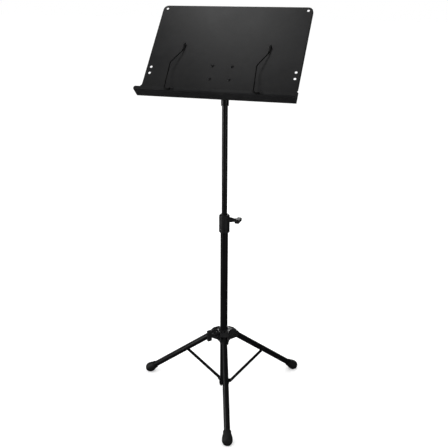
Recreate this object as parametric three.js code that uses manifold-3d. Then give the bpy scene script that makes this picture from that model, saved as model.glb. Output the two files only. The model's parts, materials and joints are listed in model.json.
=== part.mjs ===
// Orchestra music stand: a tilting sheet-steel desk on a telescopic pole with a folding tripod.
// Millimetres, +Z up, floor at z = 0, the desk faces -Y.
import * as THREE from 'three';
import { mergeVertices } from 'three/addons/utils/BufferGeometryUtils.js';
import Module from 'manifold-3d';

const wasm = await Module();
wasm.setup();

// ---- Clearances and fineness ----
const GAP = 0.3; // between pieces that touch
const HOLE_GAP = 0.4; // radial, around a rivet, screw or bolt
const SIDES = 28; // sides of a large round
const FEW_SIDES = 14; // sides of a small round
const CHAMFER = 1; // on small turned edges
const OVERCUT = 1; // how far a cutting tool reaches beyond what it cuts
const CURVE_STEPS = 5; // steps of an arc in an outline
const DOME_STEPS = 3; // steps from a rivet's rim to its crown

// ---- Desk: one bent sheet ----
const SHEET = 1.2;
const BOARD_WIDTH = 480;
const BOARD_HEIGHT = 338;
const BOARD_CORNER = 16;
const HEM_DEPTH = 7; // edges folded back behind the board
const HEM_START = 46; // height above the tray where the folded edges begin
const TRAY_OVERHANG = 4; // beyond the board's side edge
const TRAY_DEPTH = 38;
const TRAY_BEND = 3; // outer bend radius
const LIP_HEIGHT = 10;
const LIP_CORNER = 6;
const SHOULDER_HEIGHT = 36; // the board widens to the tray's width below this
const EDGE_HOLE_RADIUS = 4;
const EDGE_HOLE_INSET = 14.5; // from the board's side edge
const TOP_HOLE_DROP = 13; // from the board's top edge
const SIDE_HOLE_HEIGHTS = [83, 105];
const DESK_TILT = THREE.MathUtils.degToRad(41); // back from upright

// ---- Back bracket, tilt hinge and socket ----
const RIVET_SPACING_X = 61;
const RIVET_SPACING_Y = 46.5;
const RIVET_CENTRE_HEIGHT = 93.2;
const RIVET_SHANK = 2.2;
const RIVET_HEAD = 5;
const RIVET_HEAD_HEIGHT = 2.6;
const RIVET_TAIL = 4;
const RIVET_TAIL_HEIGHT = 1.8;
const BRACKET_WIDTH = 82;
const BRACKET_HEIGHT = 68;
const BRACKET_SHEET = 2;
const HINGE_BEHIND = 42; // hinge axis behind the board's face
const HINGE_HEIGHT = 112; // hinge axis above the tray, along the board
const EAR_RADIUS = 12;
const EAR_BELOW = 26; // reach of an ear's root below and above the hinge
const EAR_ABOVE = 14;
const TONGUE_THICKNESS = 12;
const TONGUE_RADIUS = 11;
const WASHER_RADIUS = 10;
const WASHER_THICKNESS = 1.2;
const BOLT_RADIUS = 3;
const BOLT_HEAD_RADIUS = 6;
const BOLT_HEAD_HEIGHT = 4;
const HINGE_ABOVE_POLE = 39;
const SHOULDER_BELOW_HINGE = 24;
const SOCKET_REACH = 51; // length of pole inside the socket
const LINER_WALL = 1;
const SOCKET_WALL = 1.4;
const THUMBSCREW_RADIUS = 2.5;
const THUMBSCREW_HEIGHT = 20; // above the socket's lower end
const THUMB_HEAD_RADIUS = 9;
const THUMB_HEAD_LENGTH = 10;
const THUMBSCREW_REACH = 8; // bare thread outside the socket

// ---- Pole ----
const UPPER_RADIUS = 9;
const LOWER_RADIUS = 12.5;
const TUBE_WALL = 1.2;
const UPPER_TOP = 1050;
const UPPER_LENGTH = 560;
const LOWER_TOP = 620;
const LOWER_BOTTOM = 36;
const CAP_HEIGHT = 3;
const PLUG_REACH = 22; // a plug's stem inside its tube
const FLANGE_HEIGHT = 6;

// ---- Height clamp ----
const CLAMP_WALL = 4.5;
const CLAMP_BELOW = 30; // over the lower tube
const CLAMP_ABOVE = 27; // above the lower tube
const CLAMP_ROOF = 3;
const BOSS_RADIUS = 8;
const CLAMP_BOSS_REACH = 10; // beyond the collar's wall
const SCREW_RADIUS = 3;
const KNOB_STEM_RADIUS = 7;
const KNOB_STEM = 12;
const KNOB_BAR_LENGTH = 40;
const KNOB_BAR_WIDTH = 14;
const KNOB_BAR_HEIGHT = 14;
const KNOB_GRIP = 10; // screw length inside a knob

// ---- Tripod ----
const TRIPOD_YAW = THREE.MathUtils.degToRad(20); // front leg from -Y towards +X
const LEG_NAMES = ['front', 'right', 'left'];
const LEG_RADIUS = 10;
const LEG_LENGTH = 334; // pivot to centre of the foot
const LEG_SPREAD = THREE.MathUtils.degToRad(52.35); // from straight down
const LEG_HEAD = 10; // tube beyond the pivot
const PIVOT_OUT = 40; // leg pivot from the pole's axis
const FOOT_CENTRE_HEIGHT = 13;
const FOOT_WALL = 3.2; // rubber round the leg
const FOOT_SWELL = 3.8; // the ball beyond the boot's neck
const FOOT_STRETCH = 1.9; // the ball's half on the leg's side, longer than it is thick
const FOOT_SLEEVE = 30; // boot above the centre of the foot
const FOOT_SOLE = 6; // rubber beyond the tube's end, up to the centre of the foot
const PIVOT_RIVET_RADIUS = 3;
const PIVOT_HEAD_RADIUS = 5.5;
const BRACE_OUT = 148; // brace rivet from the leg pivot, along the leg
const BRACE_WIDTH = 12;
const BRACE_THICKNESS = 2;
const BRACE_SIDE_GAP = 0.6; // between leg and brace
const COLLAR_PIVOT_OUT = 20;
const COLLAR_PIVOT_HEIGHT = 41;
const COLLAR_WALL = 2.2;
const COLLAR_HEIGHT = 16;
const EAR_THICKNESS = 4;
const EAR_END_RADIUS = 6.5;
const BRACE_RIVET_RADIUS = 2;
const BRACE_RIVET_HEAD = 4;
const BRACE_RIVET_HEIGHT = 1.8;

// ---- Hub ----
const HUB_RADIUS = 24;
const HEAD_CLEARANCE = 0.85; // round the corners of a leg's head as it swings
const HUB_BELOW_PIVOT = 15;
const BUSH_WALL = 2.2;
const BUSH_BELOW = 10; // bush showing under the hub
const FORK_WALL = 3.5;
const FORK_END_RADIUS = 13.6;
const FORK_ROOF = 8;
const FORK_SHOULDER_OUT = 29; // where a fork's top starts to slope down to its pivot
const HUB_SCREW_YAW = THREE.MathUtils.degToRad(-60); // from the front leg
const HUB_SCREW_RISE = 14; // above the leg pivots
const HUB_BOSS_OUT = 38;

// ---- Page holders ----
const WIRE_RADIUS = 1.6;
const WIRE_SIDES = 6;
const WIRE_STEPS = 50;
const WIRE_BEND = 6;
const WIRE_CENTRES = [135, -135];
const WIRE_PIN = 10; // the arm's foot, beside the clip's centre
const WIRE_KINK = { side: -14.5, up: 112 };
const WIRE_JOIN = { side: 9, up: 164 };
const WIRE_END = { side: 10, up: 190 };
const TIP_RADIUS = 4;
const TIP_NECK_RADIUS = 2.6;
const TIP_BULB = 9; // length of the thick end below the wire's end
const TIP_LENGTH = 25;
const TIP_ROOF = 3;
const CLIP_SHEET = 1.2;
const CLIP_BARREL_WALL = 1.3;
const CLIP_BARREL_LENGTH = 10;
const CLIP_START = -4; // the barrel's near end, from the clip's centre
const CLIP_BARREL_HEIGHT = 4; // above the tray's underside
const CLIP_HEIGHT = 8.6;
const CLIP_RIVET_SIDE = 13;
const CLIP_RIVET_UP = 6; // above the tray's underside
const CLIP_RIVET_RADIUS = 1.5;
const CLIP_RIVET_HEAD = 2.6;
const CLIP_RIVET_HEIGHT = 1.5;
const CLIP_END = 18;

// ---- Sizes that follow ----
const TRAY_WIDTH = BOARD_WIDTH + 2 * TRAY_OVERHANG;
const HINGE_Z = UPPER_TOP + HINGE_ABOVE_POLE;
const SOCKET_BOTTOM = UPPER_TOP - SOCKET_REACH;
const SOCKET_CEILING = UPPER_TOP + CAP_HEIGHT + GAP;
const LINER_INNER = UPPER_RADIUS + GAP;
const LINER_OUTER = LINER_INNER + LINER_WALL;
const SOCKET_BORE = LINER_OUTER + GAP;
const SOCKET_RADIUS = SOCKET_BORE + SOCKET_WALL;
const LEG_PIVOT_Z = FOOT_CENTRE_HEIGHT + LEG_LENGTH * Math.cos(LEG_SPREAD);
const FOOT_NECK_RADIUS = LEG_RADIUS + FOOT_WALL;
const FOOT_RADIUS = FOOT_NECK_RADIUS + FOOT_SWELL;
const BUSH_INNER = LOWER_RADIUS + GAP;
const BUSH_OUTER = BUSH_INNER + BUSH_WALL;
const HUB_BORE = BUSH_OUTER + GAP;
const FORK_HALF_SLOT = LEG_RADIUS + HOLE_GAP;
const FORK_HALF_WIDTH = FORK_HALF_SLOT + FORK_WALL;
const HEAD_SWEEP = Math.hypot(LEG_HEAD, LEG_RADIUS) + HEAD_CLEARANCE;
const HUB_TOP = LEG_PIVOT_Z + HEAD_SWEEP + FORK_ROOF;
const HUB_BOTTOM = LEG_PIVOT_Z - HUB_BELOW_PIVOT;
const CLAMP_BORE = LOWER_RADIUS + GAP;
const CLAMP_RADIUS = CLAMP_BORE + CLAMP_WALL;
const CLAMP_BOSS_OUT = CLAMP_RADIUS + CLAMP_BOSS_REACH;
const BRACE_INNER_FACE = LEG_RADIUS + BRACE_SIDE_GAP;
const BRACE_OUTER_FACE = BRACE_INNER_FACE + BRACE_THICKNESS;
const WASHER_OUTER_FACE = TONGUE_THICKNESS / 2 + GAP + WASHER_THICKNESS;
const EAR_INNER_FACE = WASHER_OUTER_FACE + GAP;
const EAR_OUTER_FACE = EAR_INNER_FACE + BRACKET_SHEET;
const WIRE_AXIS_OUT = TRAY_DEPTH + GAP + WIRE_RADIUS + GAP + CLIP_BARREL_WALL;

// ---- Finishes ----
const finish = (color, roughness, metalness) =>
  new THREE.MeshStandardMaterial({ color, roughness, metalness });
const FINISHES = {
  board: () => finish(0x2b2b2c, 0.55, 0.3),
  blackSteel: () => finish(0x161617, 0.45, 0.4),
  zinc: () => finish(0x8d8f92, 0.35, 0.9),
  plastic: () => finish(0x1a1a1b, 0.5, 0),
  nylon: () => finish(0x303032, 0.6, 0),
  rubber: () => finish(0x141414, 0.85, 0),
};

// ---- Solids ----
function toSolid(geometry) {
  const plain = geometry.clone();
  plain.deleteAttribute('normal');
  plain.deleteAttribute('uv');
  const merged = mergeVertices(plain, 1e-4);
  const vertProperties = Float32Array.from(merged.attributes.position.array);
  const triVerts = Uint32Array.from(merged.index.array);
  return new wasm.Manifold(new wasm.Mesh({ numProp: 3, vertProperties, triVerts }));
}

function toGeometry(solid) {
  const mesh = solid.getMesh();
  const geometry = new THREE.BufferGeometry();
  geometry.setAttribute('position', new THREE.BufferAttribute(mesh.vertProperties, 3));
  geometry.setIndex(new THREE.BufferAttribute(mesh.triVerts, 1));
  geometry.computeVertexNormals();
  return geometry;
}

function join(...geometries) {
  return toGeometry(geometries.map(toSolid).reduce((all, next) => all.add(next)));
}

function cut(geometry, ...tools) {
  return toGeometry(tools.map(toSolid).reduce((left, tool) => left.subtract(tool), toSolid(geometry)));
}

// A solid of revolution about Z from [radius, z] pairs that run up the outside.
function turned(profile, sides = SIDES) {
  const points = profile.map(([radius, z]) => new THREE.Vector2(radius, z));
  return new THREE.LatheGeometry(points, sides).rotateX(Math.PI / 2);
}

function rod(radius, from, to, sides = FEW_SIDES) {
  return turned([[0, from], [radius, from], [radius, to], [0, to]], sides);
}

function pipe(outer, inner, from, to, sides = SIDES) {
  return turned([[inner, from], [outer, from], [outer, to], [inner, to], [inner, from]], sides);
}

// A rod along Y, from y = from to y = to, through (x, z).
function rodAlongY(radius, from, to, x, z, sides = FEW_SIDES) {
  return rod(radius, from, to, sides).rotateX(-Math.PI / 2).translate(x, 0, z);
}

// A rod along X, from x = from to x = to, through (y, z).
function rodAlongX(radius, from, to, y, z, sides = FEW_SIDES) {
  return rod(radius, from, to, sides).rotateY(Math.PI / 2).translate(0, y, z);
}

function block([x0, x1], [y0, y1], [z0, z1]) {
  const box = new THREE.BoxGeometry(x1 - x0, y1 - y0, z1 - z0);
  return box.translate((x0 + x1) / 2, (y0 + y1) / 2, (z0 + z1) / 2);
}

function extruded(shape, from, to) {
  const options = { depth: to - from, bevelEnabled: false, curveSegments: CURVE_STEPS };
  return new THREE.ExtrudeGeometry(shape, options).translate(0, 0, from);
}

// A shape drawn in (y, z), extruded along X.
function extrudedAlongX(shape, from, to) {
  const basis = new THREE.Matrix4().makeBasis(
    new THREE.Vector3(0, 1, 0), new THREE.Vector3(0, 0, 1), new THREE.Vector3(1, 0, 0));
  return extruded(shape, from, to).applyMatrix4(basis);
}

// A shape drawn in (x, z), extruded along Y.
function extrudedAlongY(shape, from, to) {
  return extruded(shape, -to, -from).rotateX(Math.PI / 2);
}

// A dome head on top of z = 0, for a rivet: [radius, z] pairs from the rim to the crown.
function domeProfile(radius, height, base) {
  const sphere = (radius * radius + height * height) / (2 * height);
  const half = Math.asin(Math.min(1, radius / sphere));
  const pairs = [];
  for (let step = 0; step <= DOME_STEPS; step += 1) {
    const angle = half * (1 - step / DOME_STEPS);
    const radiusHere = step === DOME_STEPS ? 0 : sphere * Math.sin(angle);
    pairs.push([radiusHere, base + height - sphere * (1 - Math.cos(angle))]);
  }
  return pairs;
}

// A rivet along Z: its shank runs from z = from to z = to, with a dome above and a flat tail below.
function rivet(shank, head, headHeight, tail, tailHeight, from, to) {
  return turned([
    [0, from - tailHeight], [tail, from - tailHeight], [tail, from], [shank, from], [shank, to],
    ...domeProfile(head, headHeight, to),
  ], FEW_SIDES);
}

function addPiece(parent, name, geometry, material) {
  const mesh = new THREE.Mesh(geometry, material);
  mesh.name = name;
  parent.add(mesh);
  return mesh;
}

// ---- Desk ----
// In the board's frame: x to the side, y up the board from the tray's underside, z out of its face.
function rivetCentres() {
  const centres = [];
  for (const up of [1, -1]) {
    for (const side of [-1, 1]) {
      centres.push([side * RIVET_SPACING_X / 2, RIVET_CENTRE_HEIGHT + up * RIVET_SPACING_Y / 2]);
    }
  }
  return centres;
}

// The board's upright sides and rounded top, moved in by inset, as the end of a path.
function runRoundTop(shape, inset) {
  const side = BOARD_WIDTH / 2 - inset;
  const radius = BOARD_CORNER - inset;
  const top = BOARD_HEIGHT - inset;
  shape.absarc(side - radius, top - radius, radius, 0, Math.PI / 2);
  shape.absarc(radius - side, top - radius, radius, Math.PI / 2, Math.PI);
}

function boardSheet() {
  const side = BOARD_WIDTH / 2;
  const wide = TRAY_WIDTH / 2;
  const shape = new THREE.Shape();
  shape.moveTo(-wide, TRAY_BEND);
  shape.lineTo(wide, TRAY_BEND);
  shape.lineTo(wide, SHOULDER_HEIGHT);
  shape.lineTo(side, SHOULDER_HEIGHT + wide - side);
  runRoundTop(shape, 0);
  shape.lineTo(-side, SHOULDER_HEIGHT + wide - side);
  shape.lineTo(-wide, SHOULDER_HEIGHT);
  const holeSide = side - EDGE_HOLE_INSET;
  const holes = [BOARD_HEIGHT - TOP_HOLE_DROP, ...SIDE_HOLE_HEIGHTS].flatMap(
    (height) => [[-holeSide, height, EDGE_HOLE_RADIUS], [holeSide, height, EDGE_HOLE_RADIUS]]);
  const rivets = rivetCentres().map(([x, y]) => [x, y, RIVET_SHANK + HOLE_GAP]);
  for (const [x, y, radius] of [...holes, ...rivets]) {
    shape.holes.push(new THREE.Path().absarc(x, y, radius, 0, 2 * Math.PI, true));
  }
  return extruded(shape, -SHEET, 0);
}

function boardHem() {
  const side = BOARD_WIDTH / 2;
  const outside = new THREE.Shape();
  outside.moveTo(-side, HEM_START);
  outside.lineTo(side, HEM_START);
  runRoundTop(outside, 0);
  const inside = new THREE.Shape();
  inside.moveTo(SHEET - side, HEM_START - OVERCUT);
  inside.lineTo(side - SHEET, HEM_START - OVERCUT);
  runRoundTop(inside, SHEET);
  const back = -SHEET - HEM_DEPTH;
  return cut(extruded(outside, back, 0), extruded(inside, back - OVERCUT, OVERCUT));
}

// The tray's floor with both bends, drawn as [y, z] in the board's frame.
function trayFloor() {
  const shape = new THREE.Shape();
  const inner = TRAY_BEND - SHEET;
  const front = TRAY_DEPTH - TRAY_BEND;
  const back = TRAY_BEND - SHEET;
  shape.moveTo(TRAY_BEND + 1, -SHEET);
  shape.lineTo(TRAY_BEND + 1, 0);
  shape.absarc(TRAY_BEND, back, inner, -Math.PI / 2, -Math.PI, true);
  shape.absarc(TRAY_BEND, front, inner, Math.PI, Math.PI / 2, true);
  shape.lineTo(TRAY_BEND + 1, front + inner);
  shape.lineTo(TRAY_BEND + 1, TRAY_DEPTH);
  shape.absarc(TRAY_BEND, front, TRAY_BEND, Math.PI / 2, Math.PI);
  shape.absarc(TRAY_BEND, back, TRAY_BEND, -Math.PI, -Math.PI / 2);
  return extrudedAlongX(shape, -TRAY_WIDTH / 2, TRAY_WIDTH / 2);
}

function trayLip() {
  const wide = TRAY_WIDTH / 2;
  const shape = new THREE.Shape();
  shape.moveTo(-wide, TRAY_BEND);
  shape.lineTo(wide, TRAY_BEND);
  shape.absarc(wide - LIP_CORNER, LIP_HEIGHT - LIP_CORNER, LIP_CORNER, 0, Math.PI / 2);
  shape.absarc(LIP_CORNER - wide, LIP_HEIGHT - LIP_CORNER, LIP_CORNER, Math.PI / 2, Math.PI);
  for (const centre of WIRE_CENTRES) {
    const hole = new THREE.Path();
    hole.absarc(centre + CLIP_RIVET_SIDE, CLIP_RIVET_UP, CLIP_RIVET_RADIUS + HOLE_GAP, 0, 2 * Math.PI, true);
    shape.holes.push(hole);
  }
  return extruded(shape, TRAY_DEPTH - SHEET, TRAY_DEPTH);
}

function deskPlate() {
  return join(boardSheet(), boardHem(), trayFloor(), trayLip());
}

function bracketEar() {
  const root = HINGE_BEHIND - SHEET - GAP - BRACKET_SHEET / 2;
  const shape = new THREE.Shape();
  shape.moveTo(-EAR_BELOW, root);
  shape.lineTo(-EAR_RADIUS, 0);
  shape.absarc(0, 0, EAR_RADIUS, Math.PI, 2 * Math.PI);
  shape.lineTo(EAR_ABOVE, root);
  const hole = new THREE.Path().absarc(0, 0, BOLT_RADIUS + HOLE_GAP, 0, 2 * Math.PI, true);
  shape.holes.push(hole);
  return extrudedAlongX(shape, EAR_INNER_FACE, EAR_OUTER_FACE);
}

// In the hinge's frame: x along the hinge, y up the board, z towards the board.
function backBracket() {
  const back = HINGE_BEHIND - SHEET - GAP;
  const centre = RIVET_CENTRE_HEIGHT - HINGE_HEIGHT;
  const plate = new THREE.Shape();
  plate.moveTo(-BRACKET_WIDTH / 2, centre - BRACKET_HEIGHT / 2);
  plate.lineTo(BRACKET_WIDTH / 2, centre - BRACKET_HEIGHT / 2);
  plate.lineTo(BRACKET_WIDTH / 2, centre + BRACKET_HEIGHT / 2);
  plate.lineTo(-BRACKET_WIDTH / 2, centre + BRACKET_HEIGHT / 2);
  for (const [x, y] of rivetCentres()) {
    const hole = new THREE.Path();
    hole.absarc(x, y - HINGE_HEIGHT, RIVET_SHANK + HOLE_GAP, 0, 2 * Math.PI, true);
    plate.holes.push(hole);
  }
  const ear = bracketEar();
  const otherEar = ear.clone().translate(-EAR_INNER_FACE - EAR_OUTER_FACE, 0, 0);
  return join(extruded(plate, back - BRACKET_SHEET, back), ear, otherEar);
}

function deskRivet() {
  const from = -SHEET - GAP - BRACKET_SHEET - GAP;
  return rivet(RIVET_SHANK, RIVET_HEAD, RIVET_HEAD_HEIGHT, RIVET_TAIL, RIVET_TAIL_HEIGHT, from, GAP);
}

// ---- Page holders, in the board's frame ----
// Straight stretches between the points, with each corner rounded.
function roundedPath(points, radius) {
  const path = new THREE.CurvePath();
  let start = points[0];
  for (let index = 1; index < points.length - 1; index += 1) {
    const corner = points[index];
    const before = corner.clone().sub(points[index - 1]).normalize();
    const after = points[index + 1].clone().sub(corner).normalize();
    const enter = corner.clone().addScaledVector(before, -radius);
    const leave = corner.clone().addScaledVector(after, radius);
    path.add(new THREE.LineCurve3(start, enter));
    path.add(new THREE.QuadraticBezierCurve3(enter, corner, leave));
    start = leave;
  }
  path.add(new THREE.LineCurve3(start, points.at(-1)));
  return path;
}

// The depth in front of the board of the straight line from the wire's pin to its tip.
function wireDepth(up) {
  const tipDepth = TIP_RADIUS + GAP;
  const along = (up - CLIP_BARREL_HEIGHT) / (WIRE_JOIN.up - CLIP_BARREL_HEIGHT);
  return THREE.MathUtils.lerp(WIRE_AXIS_OUT, tipDepth + 1, Math.min(1, along));
}

function pageWirePoints() {
  const bend = ({ side, up }) => new THREE.Vector3(side - WIRE_PIN, up, wireDepth(up));
  return [
    new THREE.Vector3(CLIP_START + CLIP_BARREL_LENGTH + 2, CLIP_BARREL_HEIGHT, WIRE_AXIS_OUT),
    new THREE.Vector3(-WIRE_PIN, CLIP_BARREL_HEIGHT, WIRE_AXIS_OUT),
    bend(WIRE_KINK), bend(WIRE_JOIN),
    new THREE.Vector3(WIRE_END.side - WIRE_PIN, WIRE_END.up, TIP_RADIUS + GAP),
  ];
}

function pageWire() {
  const section = new THREE.Shape(
    Array.from({ length: WIRE_SIDES }, (_, side) => {
      const angle = (2 * Math.PI * side) / WIRE_SIDES;
      return new THREE.Vector2(WIRE_RADIUS * Math.cos(angle), WIRE_RADIUS * Math.sin(angle));
    }));
  const extrudePath = roundedPath(pageWirePoints(), WIRE_BEND / 2);
  return new THREE.ExtrudeGeometry(section, { steps: WIRE_STEPS, extrudePath });
}

function wireTip() {
  const bore = WIRE_RADIUS + GAP;
  const lower = TIP_ROOF - TIP_LENGTH;
  return turned([
    [bore, lower], [TIP_NECK_RADIUS, lower], [TIP_NECK_RADIUS, -TIP_BULB], [TIP_RADIUS, -TIP_BULB / 2],
    [TIP_RADIUS, TIP_ROOF - CHAMFER], [TIP_RADIUS - CHAMFER, TIP_ROOF], [0, TIP_ROOF],
    [0, GAP], [bore, GAP], [bore, lower],
  ], FEW_SIDES);
}

function wireClip() {
  const outer = WIRE_RADIUS + GAP + CLIP_BARREL_WALL;
  const face = TRAY_DEPTH + GAP;
  const end = CLIP_START + CLIP_BARREL_LENGTH;
  const barrel = rodAlongX(outer, CLIP_START, end, CLIP_BARREL_HEIGHT, WIRE_AXIS_OUT);
  const bore = rodAlongX(
    WIRE_RADIUS + GAP, CLIP_START - OVERCUT, end + OVERCUT, CLIP_BARREL_HEIGHT, WIRE_AXIS_OUT);
  const plate = block([CLIP_START, CLIP_END], [GAP, CLIP_HEIGHT], [face, face + CLIP_SHEET]);
  const hole = rod(CLIP_RIVET_RADIUS + HOLE_GAP, face - OVERCUT, face + CLIP_SHEET + OVERCUT)
    .translate(CLIP_RIVET_SIDE, CLIP_RIVET_UP, 0);
  return cut(join(barrel, plate), bore, hole);
}

function clipRivet() {
  const from = TRAY_DEPTH - SHEET - GAP;
  const to = TRAY_DEPTH + GAP + CLIP_SHEET + GAP;
  const head = [CLIP_RIVET_HEAD, CLIP_RIVET_HEIGHT];
  return rivet(CLIP_RIVET_RADIUS, ...head, ...head, from, to);
}

function addPageHolder(board, name, centre) {
  const holder = new THREE.Group();
  holder.position.x = centre;
  board.add(holder);
  addPiece(holder, `page_wire_${name}`, pageWire(), FINISHES.blackSteel());
  const points = pageWirePoints();
  const tip = addPiece(holder, `wire_tip_${name}`, wireTip(), FINISHES.plastic());
  tip.position.copy(points.at(-1));
  const along = points.at(-1).clone().sub(points.at(-2)).normalize();
  tip.quaternion.setFromUnitVectors(new THREE.Vector3(0, 0, 1), along);
  addPiece(holder, `wire_clip_${name}`, wireClip(), FINISHES.blackSteel());
  const rivetPiece = addPiece(holder, `clip_rivet_${name}`, clipRivet(), FINISHES.blackSteel());
  rivetPiece.position.set(CLIP_RIVET_SIDE, CLIP_RIVET_UP, 0);
}

function buildDesk() {
  const desk = new THREE.Group();
  desk.position.z = HINGE_Z;
  desk.rotation.x = Math.PI / 2 - DESK_TILT;
  addPiece(desk, 'back_bracket', backBracket(), FINISHES.blackSteel());
  const board = new THREE.Group();
  board.position.set(0, -HINGE_HEIGHT, HINGE_BEHIND);
  desk.add(board);
  addPiece(board, 'desk_plate', deskPlate(), FINISHES.board());
  rivetCentres().forEach(([x, y], index) => {
    addPiece(board, `desk_rivet_${index + 1}`, deskRivet(), FINISHES.blackSteel()).position.set(x, y, 0);
  });
  addPageHolder(board, 'right', WIRE_CENTRES[0]);
  addPageHolder(board, 'left', WIRE_CENTRES[1]);
  return desk;
}

// ---- Knobs and screws, along +Z from z = 0 ----
function stadium(length, width) {
  const half = (length - width) / 2;
  const shape = new THREE.Shape();
  shape.absarc(half, 0, width / 2, -Math.PI / 2, Math.PI / 2);
  shape.absarc(-half, 0, width / 2, Math.PI / 2, 1.5 * Math.PI);
  return shape;
}

function tKnob() {
  const stem = rod(KNOB_STEM_RADIUS, 0, KNOB_STEM + KNOB_BAR_HEIGHT / 2);
  const bar = extruded(stadium(KNOB_BAR_LENGTH, KNOB_BAR_WIDTH), KNOB_STEM, KNOB_STEM + KNOB_BAR_HEIGHT);
  return cut(join(stem, bar), rod(SCREW_RADIUS + GAP, -OVERCUT, KNOB_GRIP + GAP));
}

// A group whose +Z axis points away from the pole at the given yaw, at height z.
function radialGroup(parent, yaw, z) {
  const spin = new THREE.Group();
  spin.rotation.z = yaw;
  spin.position.z = z;
  const out = new THREE.Group();
  out.rotation.y = Math.PI / 2;
  spin.add(out);
  parent.add(spin);
  return out;
}

// ---- Tilt head ----
function tiltHead() {
  const shoulder = HINGE_Z - SHOULDER_BELOW_HINGE;
  const socket = turned([
    [SOCKET_BORE, SOCKET_BOTTOM], [SOCKET_RADIUS, SOCKET_BOTTOM], [SOCKET_RADIUS, shoulder - 3],
    [SOCKET_RADIUS - 3, shoulder], [0, shoulder], [0, SOCKET_CEILING], [SOCKET_BORE, SOCKET_CEILING],
    [SOCKET_BORE, SOCKET_BOTTOM],
  ]);
  const profile = new THREE.Shape();
  profile.moveTo(-TONGUE_RADIUS, shoulder - 2);
  profile.lineTo(TONGUE_RADIUS, shoulder - 2);
  profile.absarc(0, HINGE_Z, TONGUE_RADIUS, 0, Math.PI);
  const tongue = extrudedAlongX(profile, -TONGUE_THICKNESS / 2, TONGUE_THICKNESS / 2);
  const boltHole = rodAlongX(BOLT_RADIUS + HOLE_GAP, -TONGUE_THICKNESS, TONGUE_THICKNESS, 0, HINGE_Z);
  const screwHole = rodAlongY(
    THUMBSCREW_RADIUS + HOLE_GAP, SOCKET_BORE - 2, SOCKET_RADIUS + 2, 0, SOCKET_BOTTOM + THUMBSCREW_HEIGHT);
  return cut(join(socket, tongue), boltHole, screwHole);
}

function tiltBolt() {
  const end = EAR_OUTER_FACE + GAP;
  const head = new THREE.CylinderGeometry(BOLT_HEAD_RADIUS, BOLT_HEAD_RADIUS, BOLT_HEAD_HEIGHT, 6);
  head.rotateX(Math.PI / 2).translate(0, 0, -end - BOLT_HEAD_HEIGHT / 2);
  return join(head, rod(BOLT_RADIUS, -end - 1, end + KNOB_GRIP));
}

function socketThumbscrew() {
  const tip = SOCKET_BORE;
  const head = SOCKET_RADIUS + THUMBSCREW_REACH;
  return turned([
    [0, tip], [THUMBSCREW_RADIUS, tip], [THUMBSCREW_RADIUS, head], [THUMB_HEAD_RADIUS - CHAMFER, head],
    [THUMB_HEAD_RADIUS, head + CHAMFER], [THUMB_HEAD_RADIUS, head + THUMB_HEAD_LENGTH - CHAMFER],
    [THUMB_HEAD_RADIUS - CHAMFER, head + THUMB_HEAD_LENGTH], [0, head + THUMB_HEAD_LENGTH],
  ], FEW_SIDES);
}

function buildTiltHead() {
  const head = new THREE.Group();
  addPiece(head, 'tilt_head', tiltHead(), FINISHES.blackSteel());
  addPiece(head, 'socket_liner', pipe(LINER_OUTER, LINER_INNER, SOCKET_BOTTOM, UPPER_TOP), FINISHES.nylon());
  const hinge = radialGroup(head, 0, HINGE_Z);
  addPiece(hinge, 'tilt_bolt', tiltBolt(), FINISHES.zinc());
  const innerFace = WASHER_OUTER_FACE - WASHER_THICKNESS;
  const washer = pipe(WASHER_RADIUS, BOLT_RADIUS + HOLE_GAP, innerFace, WASHER_OUTER_FACE);
  addPiece(hinge, 'tilt_washer_right', washer, FINISHES.nylon());
  addPiece(hinge, 'tilt_washer_left', washer.clone(), FINISHES.nylon()).rotation.x = Math.PI;
  addPiece(hinge, 'tilt_knob', tKnob(), FINISHES.plastic()).position.z = EAR_OUTER_FACE + GAP;
  const back = radialGroup(head, Math.PI / 2, SOCKET_BOTTOM + THUMBSCREW_HEIGHT);
  addPiece(back, 'socket_thumbscrew', socketThumbscrew(), FINISHES.plastic());
  return head;
}

// ---- Pole ----
// A plug for a tube's top end: its stem hangs in the tube and its flange covers the rim at z = 0.
function tubePlug(bore, flangeRadius, flangeHeight) {
  const stem = bore - GAP;
  return turned([
    [0, -PLUG_REACH], [stem, -PLUG_REACH], [stem, GAP], [flangeRadius, GAP],
    [flangeRadius, flangeHeight - CHAMFER], [flangeRadius - CHAMFER, flangeHeight], [0, flangeHeight],
  ]);
}

function clampCollar() {
  const bottom = LOWER_TOP - CLAMP_BELOW;
  const top = LOWER_TOP + CLAMP_ABOVE;
  const mouth = UPPER_RADIUS + 2 * GAP;
  const collar = turned([
    [CLAMP_BORE, bottom], [CLAMP_RADIUS - CHAMFER, bottom], [CLAMP_RADIUS, bottom + CHAMFER],
    [CLAMP_RADIUS, top], [CLAMP_RADIUS - CLAMP_ROOF, top + CLAMP_ROOF], [mouth, top + CLAMP_ROOF],
    [mouth, top], [CLAMP_BORE, top], [CLAMP_BORE, bottom],
  ]);
  const height = LOWER_TOP + CLAMP_ABOVE / 2;
  const boss = rodAlongX(BOSS_RADIUS, CLAMP_BORE + 2, CLAMP_BOSS_OUT, 0, height);
  const hole = rodAlongX(SCREW_RADIUS + HOLE_GAP, 0, CLAMP_BOSS_OUT + OVERCUT, 0, height);
  return cut(join(collar, boss), hole);
}

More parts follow.
